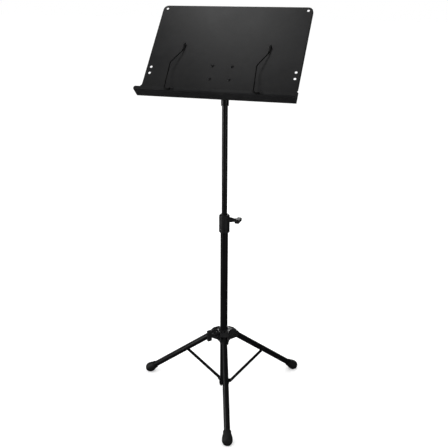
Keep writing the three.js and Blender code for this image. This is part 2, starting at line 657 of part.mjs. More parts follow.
function buildPole() {
  const pole = new THREE.Group();
  const upperBore = UPPER_RADIUS - TUBE_WALL;
  const lowerBore = LOWER_RADIUS - TUBE_WALL;
  const upperBottom = UPPER_TOP - UPPER_LENGTH;
  addPiece(pole, 'upper_tube', pipe(UPPER_RADIUS, upperBore, upperBottom, UPPER_TOP), FINISHES.blackSteel());
  const cap = tubePlug(upperBore, UPPER_RADIUS, CAP_HEIGHT);
  addPiece(pole, 'upper_tube_cap', cap, FINISHES.nylon()).position.z = UPPER_TOP;
  const guide = tubePlug(upperBore, lowerBore - GAP, FLANGE_HEIGHT).rotateX(Math.PI);
  addPiece(pole, 'upper_tube_guide', guide, FINISHES.nylon()).position.z = upperBottom;
  addPiece(pole, 'lower_tube', pipe(LOWER_RADIUS, lowerBore, LOWER_BOTTOM, LOWER_TOP), FINISHES.blackSteel());
  const plug = tubePlug(lowerBore, LOWER_RADIUS, FLANGE_HEIGHT).rotateX(Math.PI);
  addPiece(pole, 'tube_bottom_plug', plug, FINISHES.nylon()).position.z = LOWER_BOTTOM;
  addPiece(pole, 'clamp_collar', clampCollar(), FINISHES.plastic());
  const bush = pipe(LOWER_RADIUS, UPPER_RADIUS + GAP, LOWER_TOP + GAP, LOWER_TOP + CLAMP_ABOVE - GAP);
  addPiece(pole, 'clamp_bush', bush, FINISHES.nylon());
  const side = radialGroup(pole, 0, LOWER_TOP + CLAMP_ABOVE / 2);
  const screw = rod(SCREW_RADIUS, LOWER_RADIUS + GAP, CLAMP_BOSS_OUT + GAP + KNOB_GRIP);
  addPiece(side, 'clamp_screw', screw, FINISHES.zinc());
  addPiece(side, 'clamp_knob', tKnob(), FINISHES.plastic()).position.z = CLAMP_BOSS_OUT + GAP;
  return pole;
}

// ---- Tripod ----
// One fork of the hub, in the plane of its leg: x out from the pole, z up.
function hubFork() {
  const shape = new THREE.Shape();
  shape.moveTo(HUB_BORE, HUB_BOTTOM);
  shape.lineTo(HUB_RADIUS + 4, HUB_BOTTOM + 1);
  const low = THREE.MathUtils.degToRad(-70);
  const high = THREE.MathUtils.degToRad(75);
  shape.absarc(PIVOT_OUT, LEG_PIVOT_Z, FORK_END_RADIUS, low, high);
  shape.lineTo(FORK_SHOULDER_OUT, HUB_TOP);
  shape.lineTo(HUB_BORE, HUB_TOP);
  return extrudedAlongY(shape, -FORK_HALF_WIDTH, FORK_HALF_WIDTH);
}

// The space in a fork for the leg's head, and the hole for its pivot.
function forkCuts() {
  const slot = block(
    [PIVOT_OUT - HEAD_SWEEP, PIVOT_OUT + 3 * HEAD_SWEEP], [-FORK_HALF_SLOT, FORK_HALF_SLOT],
    [HUB_BOTTOM - OVERCUT, LEG_PIVOT_Z + HEAD_SWEEP]);
  const side = FORK_HALF_WIDTH + OVERCUT;
  const hole = rodAlongY(PIVOT_RIVET_RADIUS + HOLE_GAP, -side, side, PIVOT_OUT, LEG_PIVOT_Z);
  return [slot, hole];
}

function hubBody() {
  const turns = LEG_NAMES.map((_, index) => (index * 2 * Math.PI) / 3);
  const body = turned([
    [0, HUB_BOTTOM], [HUB_RADIUS - 3, HUB_BOTTOM], [HUB_RADIUS, HUB_BOTTOM + 4],
    [HUB_RADIUS, HUB_TOP - 2], [HUB_RADIUS - 2, HUB_TOP], [0, HUB_TOP],
  ]);
  const screwHeight = LEG_PIVOT_Z + HUB_SCREW_RISE;
  const boss = rodAlongX(BOSS_RADIUS, HUB_BORE + 2, HUB_BOSS_OUT, 0, screwHeight);
  const screwHole = rodAlongX(SCREW_RADIUS + HOLE_GAP, 0, HUB_BOSS_OUT + OVERCUT, 0, screwHeight);
  boss.rotateZ(HUB_SCREW_YAW);
  screwHole.rotateZ(HUB_SCREW_YAW);
  const forks = turns.map((turn) => hubFork().rotateZ(turn));
  const cuts = turns.flatMap((turn) => forkCuts().map((tool) => tool.rotateZ(turn)));
  const bore = rod(HUB_BORE, HUB_BOTTOM - OVERCUT, HUB_TOP + OVERCUT, SIDES);
  return cut(join(body, boss, ...forks), bore, screwHole, ...cuts);
}

// Pieces of a leg, along +Z from the pivot to the foot.
function legTube() {
  const end = LEG_LENGTH - FOOT_SOLE;
  const tube = pipe(LEG_RADIUS, LEG_RADIUS - TUBE_WALL, -LEG_HEAD, end);
  const pivotHole = rodAlongY(PIVOT_RIVET_RADIUS + HOLE_GAP, -2 * LEG_RADIUS, 2 * LEG_RADIUS, 0, 0);
  const braceHole = rodAlongY(BRACE_RIVET_RADIUS + HOLE_GAP, -2 * LEG_RADIUS, 2 * LEG_RADIUS, 0, BRACE_OUT);
  return cut(tube, pivotHole, braceHole);
}

// A boot with a ball end, cut flat where it meets the floor when the leg is spread.
function rubberFoot() {
  const bore = LEG_RADIUS + GAP;
  const start = -FOOT_SLEEVE;
  const ball = [];
  const steps = 2 * CURVE_STEPS - 1;
  for (let step = 0; step <= steps; step += 1) {
    const angle = THREE.MathUtils.lerp(-Math.acos(FOOT_NECK_RADIUS / FOOT_RADIUS), Math.PI / 2, step / steps);
    const stretch = angle < 0 ? FOOT_STRETCH : 1;
    ball.push([step === steps ? 0 : FOOT_RADIUS * Math.cos(angle), stretch * FOOT_RADIUS * Math.sin(angle)]);
  }
  const boot = turned([
    [bore, start], [FOOT_NECK_RADIUS - CHAMFER, start], [FOOT_NECK_RADIUS, start + CHAMFER],
    ...ball, [0, GAP - FOOT_SOLE], [bore, GAP - FOOT_SOLE], [bore, start],
  ]);
  const reach = 3 * FOOT_RADIUS;
  const floor = block([-reach, reach], [-reach, reach], [-reach, 0])
    .translate(0, 0, -FOOT_CENTRE_HEIGHT).rotateY(LEG_SPREAD - Math.PI);
  return cut(boot, floor).translate(0, 0, LEG_LENGTH);
}

// A rivet across the leg along Y, with a head on each side.
function crossRivet(shank, head, headHeight, from, to) {
  return rivet(shank, head, headHeight, head, headHeight, from, to).rotateX(-Math.PI / 2);
}

// The brace's ends in the plane of its leg, as [out, z].
function braceEnds() {
  const out = PIVOT_OUT + BRACE_OUT * Math.sin(LEG_SPREAD);
  const z = LEG_PIVOT_Z - BRACE_OUT * Math.cos(LEG_SPREAD);
  return [new THREE.Vector2(COLLAR_PIVOT_OUT, COLLAR_PIVOT_HEIGHT), new THREE.Vector2(out, z)];
}

function brace() {
  const [low, high] = braceEnds();
  const length = high.distanceTo(low);
  const shape = stadium(length + BRACE_WIDTH, BRACE_WIDTH);
  for (const end of [-length / 2, length / 2]) {
    shape.holes.push(new THREE.Path().absarc(end, 0, BRACE_RIVET_RADIUS + HOLE_GAP, 0, 2 * Math.PI, true));
  }
  const middle = low.clone().add(high).multiplyScalar(0.5);
  const slope = Math.atan2(high.y - low.y, high.x - low.x);
  const strip = extrudedAlongY(shape, -BRACE_OUTER_FACE, -BRACE_INNER_FACE);
  return strip.rotateY(-slope).translate(middle.x, 0, middle.y);
}

function collarEar() {
  const shape = new THREE.Shape();
  const half = Math.PI / 2;
  shape.moveTo(LOWER_RADIUS / 2, COLLAR_PIVOT_HEIGHT - EAR_END_RADIUS);
  shape.lineTo(COLLAR_PIVOT_OUT, COLLAR_PIVOT_HEIGHT - EAR_END_RADIUS);
  shape.absarc(COLLAR_PIVOT_OUT, COLLAR_PIVOT_HEIGHT, EAR_END_RADIUS, -half, half);
  shape.lineTo(LOWER_RADIUS / 2, COLLAR_PIVOT_HEIGHT + EAR_END_RADIUS);
  const outer = BRACE_INNER_FACE - GAP;
  return extrudedAlongY(shape, -outer, EAR_THICKNESS - outer);
}

function braceCollar() {
  const bottom = COLLAR_PIVOT_HEIGHT - COLLAR_HEIGHT / 2;
  const bore = LOWER_RADIUS + GAP;
  const ring = rod(bore + COLLAR_WALL, bottom, bottom + COLLAR_HEIGHT, SIDES);
  const ears = LEG_NAMES.map((_, index) => collarEar().rotateZ((index * 2 * Math.PI) / 3));
  return cut(join(ring, ...ears), rod(bore, bottom - OVERCUT, bottom + COLLAR_HEIGHT + OVERCUT, SIDES));
}

function addLeg(parent, name, turn) {
  const plane = new THREE.Group();
  plane.rotation.z = turn;
  parent.add(plane);
  const leg = new THREE.Group();
  leg.position.set(PIVOT_OUT, 0, LEG_PIVOT_Z);
  leg.rotation.y = Math.PI - LEG_SPREAD;
  plane.add(leg);
  addPiece(leg, `leg_tube_${name}`, legTube(), FINISHES.blackSteel());
  addPiece(leg, `rubber_foot_${name}`, rubberFoot(), FINISHES.rubber());
  const reach = FORK_HALF_WIDTH + GAP;
  const pivot = crossRivet(PIVOT_RIVET_RADIUS, PIVOT_HEAD_RADIUS, RIVET_HEAD_HEIGHT, -reach, reach);
  addPiece(leg, `leg_pivot_${name}`, pivot, FINISHES.blackSteel());
  const upper = crossRivet(BRACE_RIVET_RADIUS, BRACE_RIVET_HEAD, BRACE_RIVET_HEIGHT,
    -BRACE_OUTER_FACE - GAP, LEG_RADIUS + GAP);
  addPiece(leg, `brace_leg_rivet_${name}`, upper, FINISHES.blackSteel()).position.z = BRACE_OUT;
  addPiece(plane, `brace_${name}`, brace(), FINISHES.blackSteel());
  const lower = turned([
    [0, -BRACE_OUTER_FACE - GAP - BRACE_RIVET_HEIGHT],
    [BRACE_RIVET_HEAD, -BRACE_OUTER_FACE - GAP - BRACE_RIVET_HEIGHT],
    [BRACE_RIVET_HEAD, -BRACE_OUTER_FACE - GAP], [BRACE_RIVET_RADIUS, -BRACE_OUTER_FACE - GAP],
    [BRACE_RIVET_RADIUS, -BRACE_INNER_FACE], [0, -BRACE_INNER_FACE],
  ], FEW_SIDES).rotateX(-Math.PI / 2);
  const lowerPiece = addPiece(plane, `brace_collar_rivet_${name}`, lower, FINISHES.blackSteel());
  lowerPiece.position.set(COLLAR_PIVOT_OUT, 0, COLLAR_PIVOT_HEIGHT);
}

function buildTripod() {
  const tripod = new THREE.Group();
  tripod.rotation.z = TRIPOD_YAW - Math.PI / 2;
  addPiece(tripod, 'hub', hubBody(), FINISHES.blackSteel());
  const bush = pipe(BUSH_OUTER, BUSH_INNER, HUB_BOTTOM - BUSH_BELOW, HUB_TOP + 1);
  addPiece(tripod, 'hub_bush', bush, FINISHES.nylon());
  const side = radialGroup(tripod, HUB_SCREW_YAW, LEG_PIVOT_Z + HUB_SCREW_RISE);
  const screw = rod(SCREW_RADIUS, BUSH_OUTER + GAP, HUB_BOSS_OUT + GAP + KNOB_GRIP);
  addPiece(side, 'hub_screw', screw, FINISHES.zinc());
  addPiece(side, 'hub_knob', tKnob(), FINISHES.plastic()).position.z = HUB_BOSS_OUT + GAP;
  addPiece(tripod, 'brace_collar', braceCollar(), FINISHES.blackSteel());
  LEG_NAMES.forEach((name, index) => addLeg(tripod, name, (index * 2 * Math.PI) / 3));
  return tripod;
}

// ---- The whole stand, centred over its own outline to the nearest millimetre ----
function buildStand() {
  const stand = new THREE.Group();
  stand.add(buildDesk(), buildTiltHead(), buildPole(), buildTripod());
  stand.updateMatrixWorld(true);
  const centre = new THREE.Box3().setFromObject(stand, true).getCenter(new THREE.Vector3());
  stand.position.set(-Math.round(centre.x), -Math.round(centre.y), 0);
  return stand;
}

export default buildStand();
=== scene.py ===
"""An orchestra music stand: a tilting sheet-steel desk on a telescopic pole with a folding tripod.

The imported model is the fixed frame. Each sub-assembly below is a class that holds its sizes in
millimetres, works its surfaces out as whole arrays, and dresses them with procedural finishes.
"""

import json
import logging
import math
from dataclasses import dataclass
from enum import Enum
from typing import Any, Sequence

import bmesh
import bpy
import numpy as np
from mathutils import Matrix, Vector
from numpy.typing import NDArray


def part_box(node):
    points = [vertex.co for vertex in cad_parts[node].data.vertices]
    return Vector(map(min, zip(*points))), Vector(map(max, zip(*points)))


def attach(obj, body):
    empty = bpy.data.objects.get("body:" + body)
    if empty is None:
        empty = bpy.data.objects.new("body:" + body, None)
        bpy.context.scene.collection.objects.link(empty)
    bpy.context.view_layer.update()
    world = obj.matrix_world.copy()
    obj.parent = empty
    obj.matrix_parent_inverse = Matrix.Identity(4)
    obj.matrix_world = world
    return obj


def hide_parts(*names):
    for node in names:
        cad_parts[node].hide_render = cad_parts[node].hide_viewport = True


Points = NDArray[np.float64]
Colour = tuple[float, float, float]

LOG = logging.getLogger("music_stand")
MM = 0.001
QUARTER = math.pi / 2
SMALL_ROUND = 32
LARGE_ROUND = 64
WELD_DISTANCE = 1e-6
SHARP_ANGLE = math.radians(38)
GAP = 0.3
SLACK = 0.2
SCREW_HOLE = 3.4
SCREW_REACH = 10.0
DESK_TILT = math.radians(41)
HOLDER_CENTRES = {"right": 135.0, "left": -135.0}
LEG_NAMES = ("front", "right", "left")

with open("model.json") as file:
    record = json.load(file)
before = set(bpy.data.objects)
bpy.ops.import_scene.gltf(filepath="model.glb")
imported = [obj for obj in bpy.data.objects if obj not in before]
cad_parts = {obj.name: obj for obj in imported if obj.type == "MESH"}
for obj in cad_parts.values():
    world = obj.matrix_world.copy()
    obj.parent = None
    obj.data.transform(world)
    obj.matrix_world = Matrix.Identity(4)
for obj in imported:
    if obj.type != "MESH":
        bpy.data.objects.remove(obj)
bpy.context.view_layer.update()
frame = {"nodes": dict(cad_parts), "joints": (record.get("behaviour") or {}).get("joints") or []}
JOINTS = {joint["name"]: joint for joint in frame["joints"]}


# ---- Places and plain curves ----
@dataclass(frozen=True)
class Place:
    """A local frame: its origin in metres and its three unit axes as rows, in the record's frame."""

    origin: Points
    axes: Points

    def put(self, points: Points) -> Points:
        """Turns local millimetres into metres: the origin plus each coordinate times its axis."""
        return self.origin + (np.asarray(points, float) * MM) @ self.axes

    def at(self, x: float = 0.0, y: float = 0.0, z: float = 0.0) -> "Place":
        """Returns this frame moved along its own axes by millimetres."""
        return Place(self.put(np.array([x, y, z])), self.axes)

    def reframed(self, along: Sequence[float], side: Sequence[float]) -> "Place":
        """Returns a frame at the same origin with chosen axes.

        Args:
            along: the new third axis, in this frame's coordinates.
            side: a direction that the new first axis leans towards.

        Returns:
            A right-handed frame whose first axis is side made square to along.
        """
        z = np.asarray(along, float) @ self.axes
        z /= np.linalg.norm(z)
        x = np.asarray(side, float) @ self.axes
        x -= (x @ z) * z
        x /= np.linalg.norm(x)
        return Place(self.origin, np.array([x, np.cross(z, x), z]))


def soft_corners(points: Points, radius: float | Points, steps: int = 5, closed: bool = True) -> Points:
    """Rounds the corners of a polyline.

    Each corner P is replaced by the parabola (1-t)^2 A + 2t(1-t) P + t^2 B, where A and B lie
    on its two edges at the given radius from P, or at half the edge if that is nearer.

    Args:
        points: the corners, one row each.
        radius: one reach for all corners, or one for each.
        steps: points on each rounded corner.
        closed: whether the last corner joins the first; an open line keeps its two ends.

    Returns:
        The rounded line's points.
    """
    corners = np.asarray(points, float)
    reach = np.broadcast_to(np.asarray(radius, float), len(corners)).copy()
    if not closed:
        reach[[0, -1]] = 0.0
    before = np.roll(corners, 1, axis=0) - corners
    after = np.roll(corners, -1, axis=0) - corners
    long_before = np.maximum(np.linalg.norm(before, axis=1), 1e-12)
    long_after = np.maximum(np.linalg.norm(after, axis=1), 1e-12)
    enter = corners + before * (np.minimum(reach / long_before, 0.5))[:, None]
    leave = corners + after * (np.minimum(reach / long_after, 0.5))[:, None]
    t = np.linspace(0.0, 1.0, steps)[None, :, None]
    bent = (1 - t) ** 2 * enter[:, None] + 2 * t * (1 - t) * corners[:, None] + t**2 * leave[:, None]
    line = bent.reshape(-1, corners.shape[1])
    step = np.linalg.norm(line - np.roll(line, 1, axis=0), axis=1)
    keep = step > 1e-7
    keep[0] = keep[0] or not closed
    return line[keep]


def arc(centre: Sequence[float], radius: float, start: float, end: float, steps: int) -> Points:
    """Points on a circle: centre + radius (cos a, sin a) for a from start to end, in degrees."""
    angle = np.radians(np.linspace(start, end, steps))
    return np.asarray(centre, float) + radius * np.stack([np.cos(angle), np.sin(angle)], axis=1)


def stadium(length: float, width: float, steps: int = 17) -> Points:
    """The outline of a bar with half-round ends, centred, its length along the first axis.

    Args:
        length: the overall length.
        width: the overall width, which is twice the radius of the ends.
        steps: points on each half-round.

    Returns:
        The closed outline.
    """
    half = (length - width) / 2
    right = arc((half, 0.0), width / 2, -90, 90, steps)
    left = arc((-half, 0.0), width / 2, 90, 270, steps)
    return np.vstack([right, left])


def shrunk(outline: Points, inset: Points) -> Points:
    """Moves an outline inwards, with each corner along the bisector of its two edges.

    Args:
        outline: a counter-clockwise loop of points.
        inset: how far each of several copies moves in.

    Returns:
        An array of copies by points by 2.
    """
    edge = np.roll(outline, -1, axis=0) - outline
    edge /= np.maximum(np.linalg.norm(edge, axis=1), 1e-12)[:, None]
    normal = np.stack([edge[:, 1], -edge[:, 0]], axis=1)
    earlier = np.roll(normal, 1, axis=0)
    share = np.maximum(1.0 + np.sum(normal * earlier, axis=1), 0.3)
    bisector = (normal + earlier) / share[:, None]
    return outline[None] - np.asarray(inset, float)[:, None, None] * bisector[None]


class Shells:
    """Gathers surfaces in local millimetres, and makes one mesh of closed shells from them."""

    def __init__(self) -> None:
        """Starts with no surfaces."""
        self._points: list[Points] = []
        self._faces: list[list[int]] = []
        self._count = 0

    def _keep(self, points: Points) -> int:
        """Stores points and returns the index of the first of them.

        Args:
            points: the points to store, in local millimetres.

        Returns:
            The index of the first of them.
        """
        first = self._count
        flat = np.asarray(points, float).reshape(-1, 3)
        self._points.append(flat)
        self._count += len(flat)
        return first

    def grid(self, points: Points, around: bool = False, closed: bool = False,
             skip: Points | None = None) -> None:
        """Adds a surface that is a function of two parameters on a grid.

        Args:
            points: rows by columns by 3.
            around: whether the last column joins the first.
            closed: whether the last row joins the first.
            skip: a mask of cells that are left open.
        """
        rows, columns = points.shape[:2]
        index = self._keep(points) + np.arange(rows * columns).reshape(rows, columns)
        if around:
            index = np.hstack([index, index[:, :1]])
        if closed:
            index = np.vstack([index, index[:1]])
        quads = np.stack([index[:-1, :-1], index[:-1, 1:], index[1:, 1:], index[1:, :-1]], axis=-1)
        kept = quads.reshape(-1, 4) if skip is None else quads[~skip]
        self._faces.extend(kept.tolist())

    def polygon(self, points: Points) -> None:
        """Adds one flat face with these corners."""
        first = self._keep(points)
        self._faces.append(list(range(first, first + len(points))))

    def lathe(self, profile: Sequence[Sequence[float]], sides: int = LARGE_ROUND, round_off: float = 0.3,
              flutes: int = 0, flute_depth: float = 0.0, axis: Place | None = None) -> None:
        """Adds a turned shape about the third axis.

        A profile point (r, z) at angle a goes to (r cos a, r sin a, z). A profile that starts and
        ends on the axis is closed by its poles, and any other is a closed loop. With flutes, r
        beyond the hub is made smaller by flute_depth (1 - cos(flutes a)) / 2.

        Args:
            profile: points as (radius, height).
            sides: columns round the axis.
            round_off: reach of the rounding at each corner.
            flutes: number of shallow grooves along the axis.
            flute_depth: their depth.
            axis: a local frame in millimetres, whose third axis is the turning axis.
        """
        corners = np.asarray(profile, float)
        on_axis = corners[0, 0] == 0 and corners[-1, 0] == 0
        line = soft_corners(corners, round_off, closed=not on_axis)
        angle = np.linspace(0, 2 * math.pi, sides, endpoint=False)
        radius = np.repeat(line[:, :1], sides, axis=1)
        if flutes:
            groove = flute_depth * (1 - np.cos(flutes * angle)) / 2
            radius = np.where(radius > 0.6 * line[:, 0].max(), radius - groove[None], radius)
        height = np.repeat(line[:, 1:], sides, axis=1)
        turned = np.stack([radius * np.cos(angle), radius * np.sin(angle), height], axis=-1)
        if axis is not None:
            turned = axis.origin + turned @ axis.axes
        self.grid(turned, around=True, closed=not on_axis)

    def prism(self, outline: Points, low: float, high: float, edge: float = 0.4,
              order: Sequence[int] = (0, 1, 2)) -> None:
        """Adds a plate: an outline carried from low to high, with quarter-round rims.

        Ring k of a rim is the outline moved in by edge (1 - sin a) and lies edge (1 - cos a)
        inside the face, for a from 0 to a right angle.

        Args:
            outline: the loop of points.
            low: height of the lower face.
            high: height of the upper face.
            edge: radius of the rims.
            order: which of (first, second, height) each axis takes.
        """
        loop = np.asarray(outline, float)
        following = np.roll(loop, -1, axis=0)
        if np.sum(loop[:, 0] * following[:, 1] - following[:, 0] * loop[:, 1]) < 0:
            loop = loop[::-1]
        angle = np.linspace(0, QUARTER, 4)
        inset = edge * (1 - np.sin(angle))
        drop = edge * (1 - np.cos(angle))
        rings = shrunk(loop, np.concatenate([inset, inset[::-1]]))
        height = np.concatenate([low + drop, high - drop[::-1]])
        level = np.broadcast_to(height[:, None, None], (*rings.shape[:2], 1))
        solid = np.concatenate([rings, level], axis=-1)
        solid = solid[..., list(order)]
        self.grid(solid, around=True)
        self.polygon(solid[0])
        self.polygon(solid[-1])

    def pipe(self, bore: float, radius: float, low: float, high: float, round_off: float = 0.4) -> None:
        """Adds a round tube from low to high on the third axis."""
        self.lathe([(bore, low), (radius, low), (radius, high), (bore, high)], LARGE_ROUND, round_off)

    def shank(self, radius: float, low: float, high: float) -> None:
        """Adds a screw's plain shank from low to high on the third axis."""
        self.lathe([(0, low), (radius, low), (radius, high), (0, high)], SMALL_ROUND, 0.3)

    def rod_along(self, start: Points, end: Points, profile: Sequence[Sequence[float]],
                  sides: int = SMALL_ROUND, round_off: float = 0.3) -> None:
        """Adds a turned shape from a profile of (radius, distance from start towards end).

        Args:
            start: where the distances begin.
            end: a point that the axis runs towards.
            profile: the (radius, distance) points.
            sides: columns round the axis.
            round_off: the radius of the profile's corners.
        """
        here = Place(np.asarray(start, float), np.eye(3))
        along = np.asarray(end, float) - here.origin
        side = (0.0, 0.0, 1.0) if abs(along[2]) < 0.9 * np.linalg.norm(along) else (1.0, 0.0, 0.0)
        self.lathe(profile, sides, round_off, axis=here.reframed(along, side))

    def sweep(self, path: Points, radius: float, sides: int, normal: Sequence[float]) -> None:
        """Adds a round bar along a path.

        The section at each point is the circle spanned by the side direction, which is the
        tangent crossed with the fixed normal, and by the side crossed with the tangent. Two
        smaller rings and a pole round off each end.

        Args:
            path: the points of the centre line.
            radius: the bar's radius.
            sides: columns round the bar.
            normal: a direction that the path is never parallel to.
        """
        tangent = np.gradient(path, axis=0)
        tangent /= np.linalg.norm(tangent, axis=1)[:, None]
        fall = np.array([1.0, 0.92, 0.6, 0.0])
        reach = radius * 0.5 * np.array([0.0, 0.45, 0.85, 1.0])
        first = path[0] - np.outer(reach[::-1], tangent[0])
        last = path[-1] + np.outer(reach, tangent[-1])
        line = np.vstack([first[:-1], path, last[1:]])
        ways = np.vstack([np.repeat(tangent[:1], 3, axis=0), tangent, np.repeat(tangent[-1:], 3, axis=0)])
        size = np.concatenate([fall[::-1][:-1], np.ones(len(path)), fall[1:]]) * radius
        side = np.cross(ways, np.asarray(normal, float))
        side /= np.linalg.norm(side, axis=1)[:, None]
        rise = np.cross(side, ways)
        angle = np.linspace(0, 2 * math.pi, sides, endpoint=False)
        spoke = np.cos(angle)[None, :, None] * side[:, None] + np.sin(angle)[None, :, None] * rise[:, None]
        self.grid(line[:, None] + size[:, None, None] * spoke, around=True)

    def absorb(self, other: "Shells", turn: Points) -> None:
        """Adds another's surfaces, each point multiplied by a 3 by 3 turn."""
        first = self._keep(np.vstack(other._points) @ turn)
        self._faces.extend([[first + corner for corner in face] for face in other._faces])

    def mesh(self, name: str, place: Place) -> bpy.types.Object:
        """Makes the object, in metres, with its place in its mesh.

        Doubles are merged, which closes the seams and poles, and the faces are turned outwards.

        Args:
            name: the piece's name.
            place: the local frame that the surfaces were worked out in.

        Returns:
            The new object, smooth but for its sharp edges.
        """
        data = bpy.data.meshes.new(name)
        data.from_pydata(place.put(np.vstack(self._points)), [], self._faces)
        work = bmesh.new()
        work.from_mesh(data)
        bmesh.ops.remove_doubles(work, verts=work.verts, dist=WELD_DISTANCE)
        bmesh.ops.dissolve_degenerate(work, dist=WELD_DISTANCE / 10, edges=work.edges)
        bmesh.ops.recalc_face_normals(work, faces=work.faces)
        work.to_mesh(data)
        work.free()
        data.polygons.foreach_set("use_smooth", np.ones(len(data.polygons), bool))
        data.set_sharp_from_angle(angle=SHARP_ANGLE)
        made = bpy.data.objects.new(name, data)
        bpy.context.scene.collection.objects.link(made)
        weighted = made.modifiers.new("even_faces", "WEIGHTED_NORMAL")
        weighted.keep_sharp = True
        return made


# ---- Finishes ----
DUST_COLOUR = (0.35, 0.34, 0.32)
RUB_POLISH = -0.12


class Slot(Enum):
    """The record's material slots."""

    BOARD_STEEL = "board_steel"
    BLACK_STEEL = "black_steel"
    ZINC = "zinc"
    BLACK_PLASTIC = "black_plastic"
    NYLON = "nylon"
    RUBBER = "rubber"


def add_node(tree: bpy.types.NodeTree, kind: str, settings: dict[str, Any] | None = None,
             **inputs: Any) -> bpy.types.Node:
    """Adds a node.

    Args:
        tree: the tree it goes in.
        kind: its type's name.
        settings: its own properties by name.
        **inputs: input sockets by name, with _ for a space: a value to set or a socket to link.

    Returns:
        The node.
    """
    node = tree.nodes.new(kind)
    for name, value in (settings or {}).items():
        setattr(node, name, value)
    for name, value in inputs.items():
        key: str | int = int(name[1:]) if name[0] == "_" else name.replace("_", " ")
        if isinstance(value, bpy.types.NodeSocket):
            tree.links.new(value, node.inputs[key])
        else:
            node.inputs[key].default_value = value
    return node


def maths(tree: bpy.types.NodeTree, operation: str, first: Any, second: Any,
          clamp: bool = False) -> bpy.types.NodeSocket:
    """Adds a Math node and returns its output."""
    settings = {"operation": operation, "use_clamp": clamp}
    return add_node(tree, "ShaderNodeMath", settings, _0=first, _1=second).outputs[0]


def blend_colour(tree: bpy.types.NodeTree, share: Any, first: Any, second: Any) -> bpy.types.NodeSocket:
    """Adds a colour Mix node: first where share is 0, second where it is 1."""
    node = add_node(tree, "ShaderNodeMix", {"data_type": "RGBA"}, _0=share, _6=first, _7=second)
    return node.outputs[2]


def spread_over(tree: bpy.types.NodeTree, value: bpy.types.NodeSocket, low: float,
                high: float) -> bpy.types.NodeSocket:
    """Stretches value so that low becomes 0 and high becomes 1, clamped."""
    node = add_node(tree, "ShaderNodeMapRange", {"clamp": True}, Value=value, From_Min=low, From_Max=high)
    return node.outputs[0]


def noise(tree: bpy.types.NodeTree, where: bpy.types.NodeSocket, scale: Any, detail: float,
          roughness: float = 0.5) -> bpy.types.NodeSocket:
    """Adds a Noise Texture node and returns its factor."""
    node = add_node(tree, "ShaderNodeTexNoise", None, Vector=where, Scale=scale, Detail=detail,
                    Roughness=roughness)
    return node.outputs["Fac"]


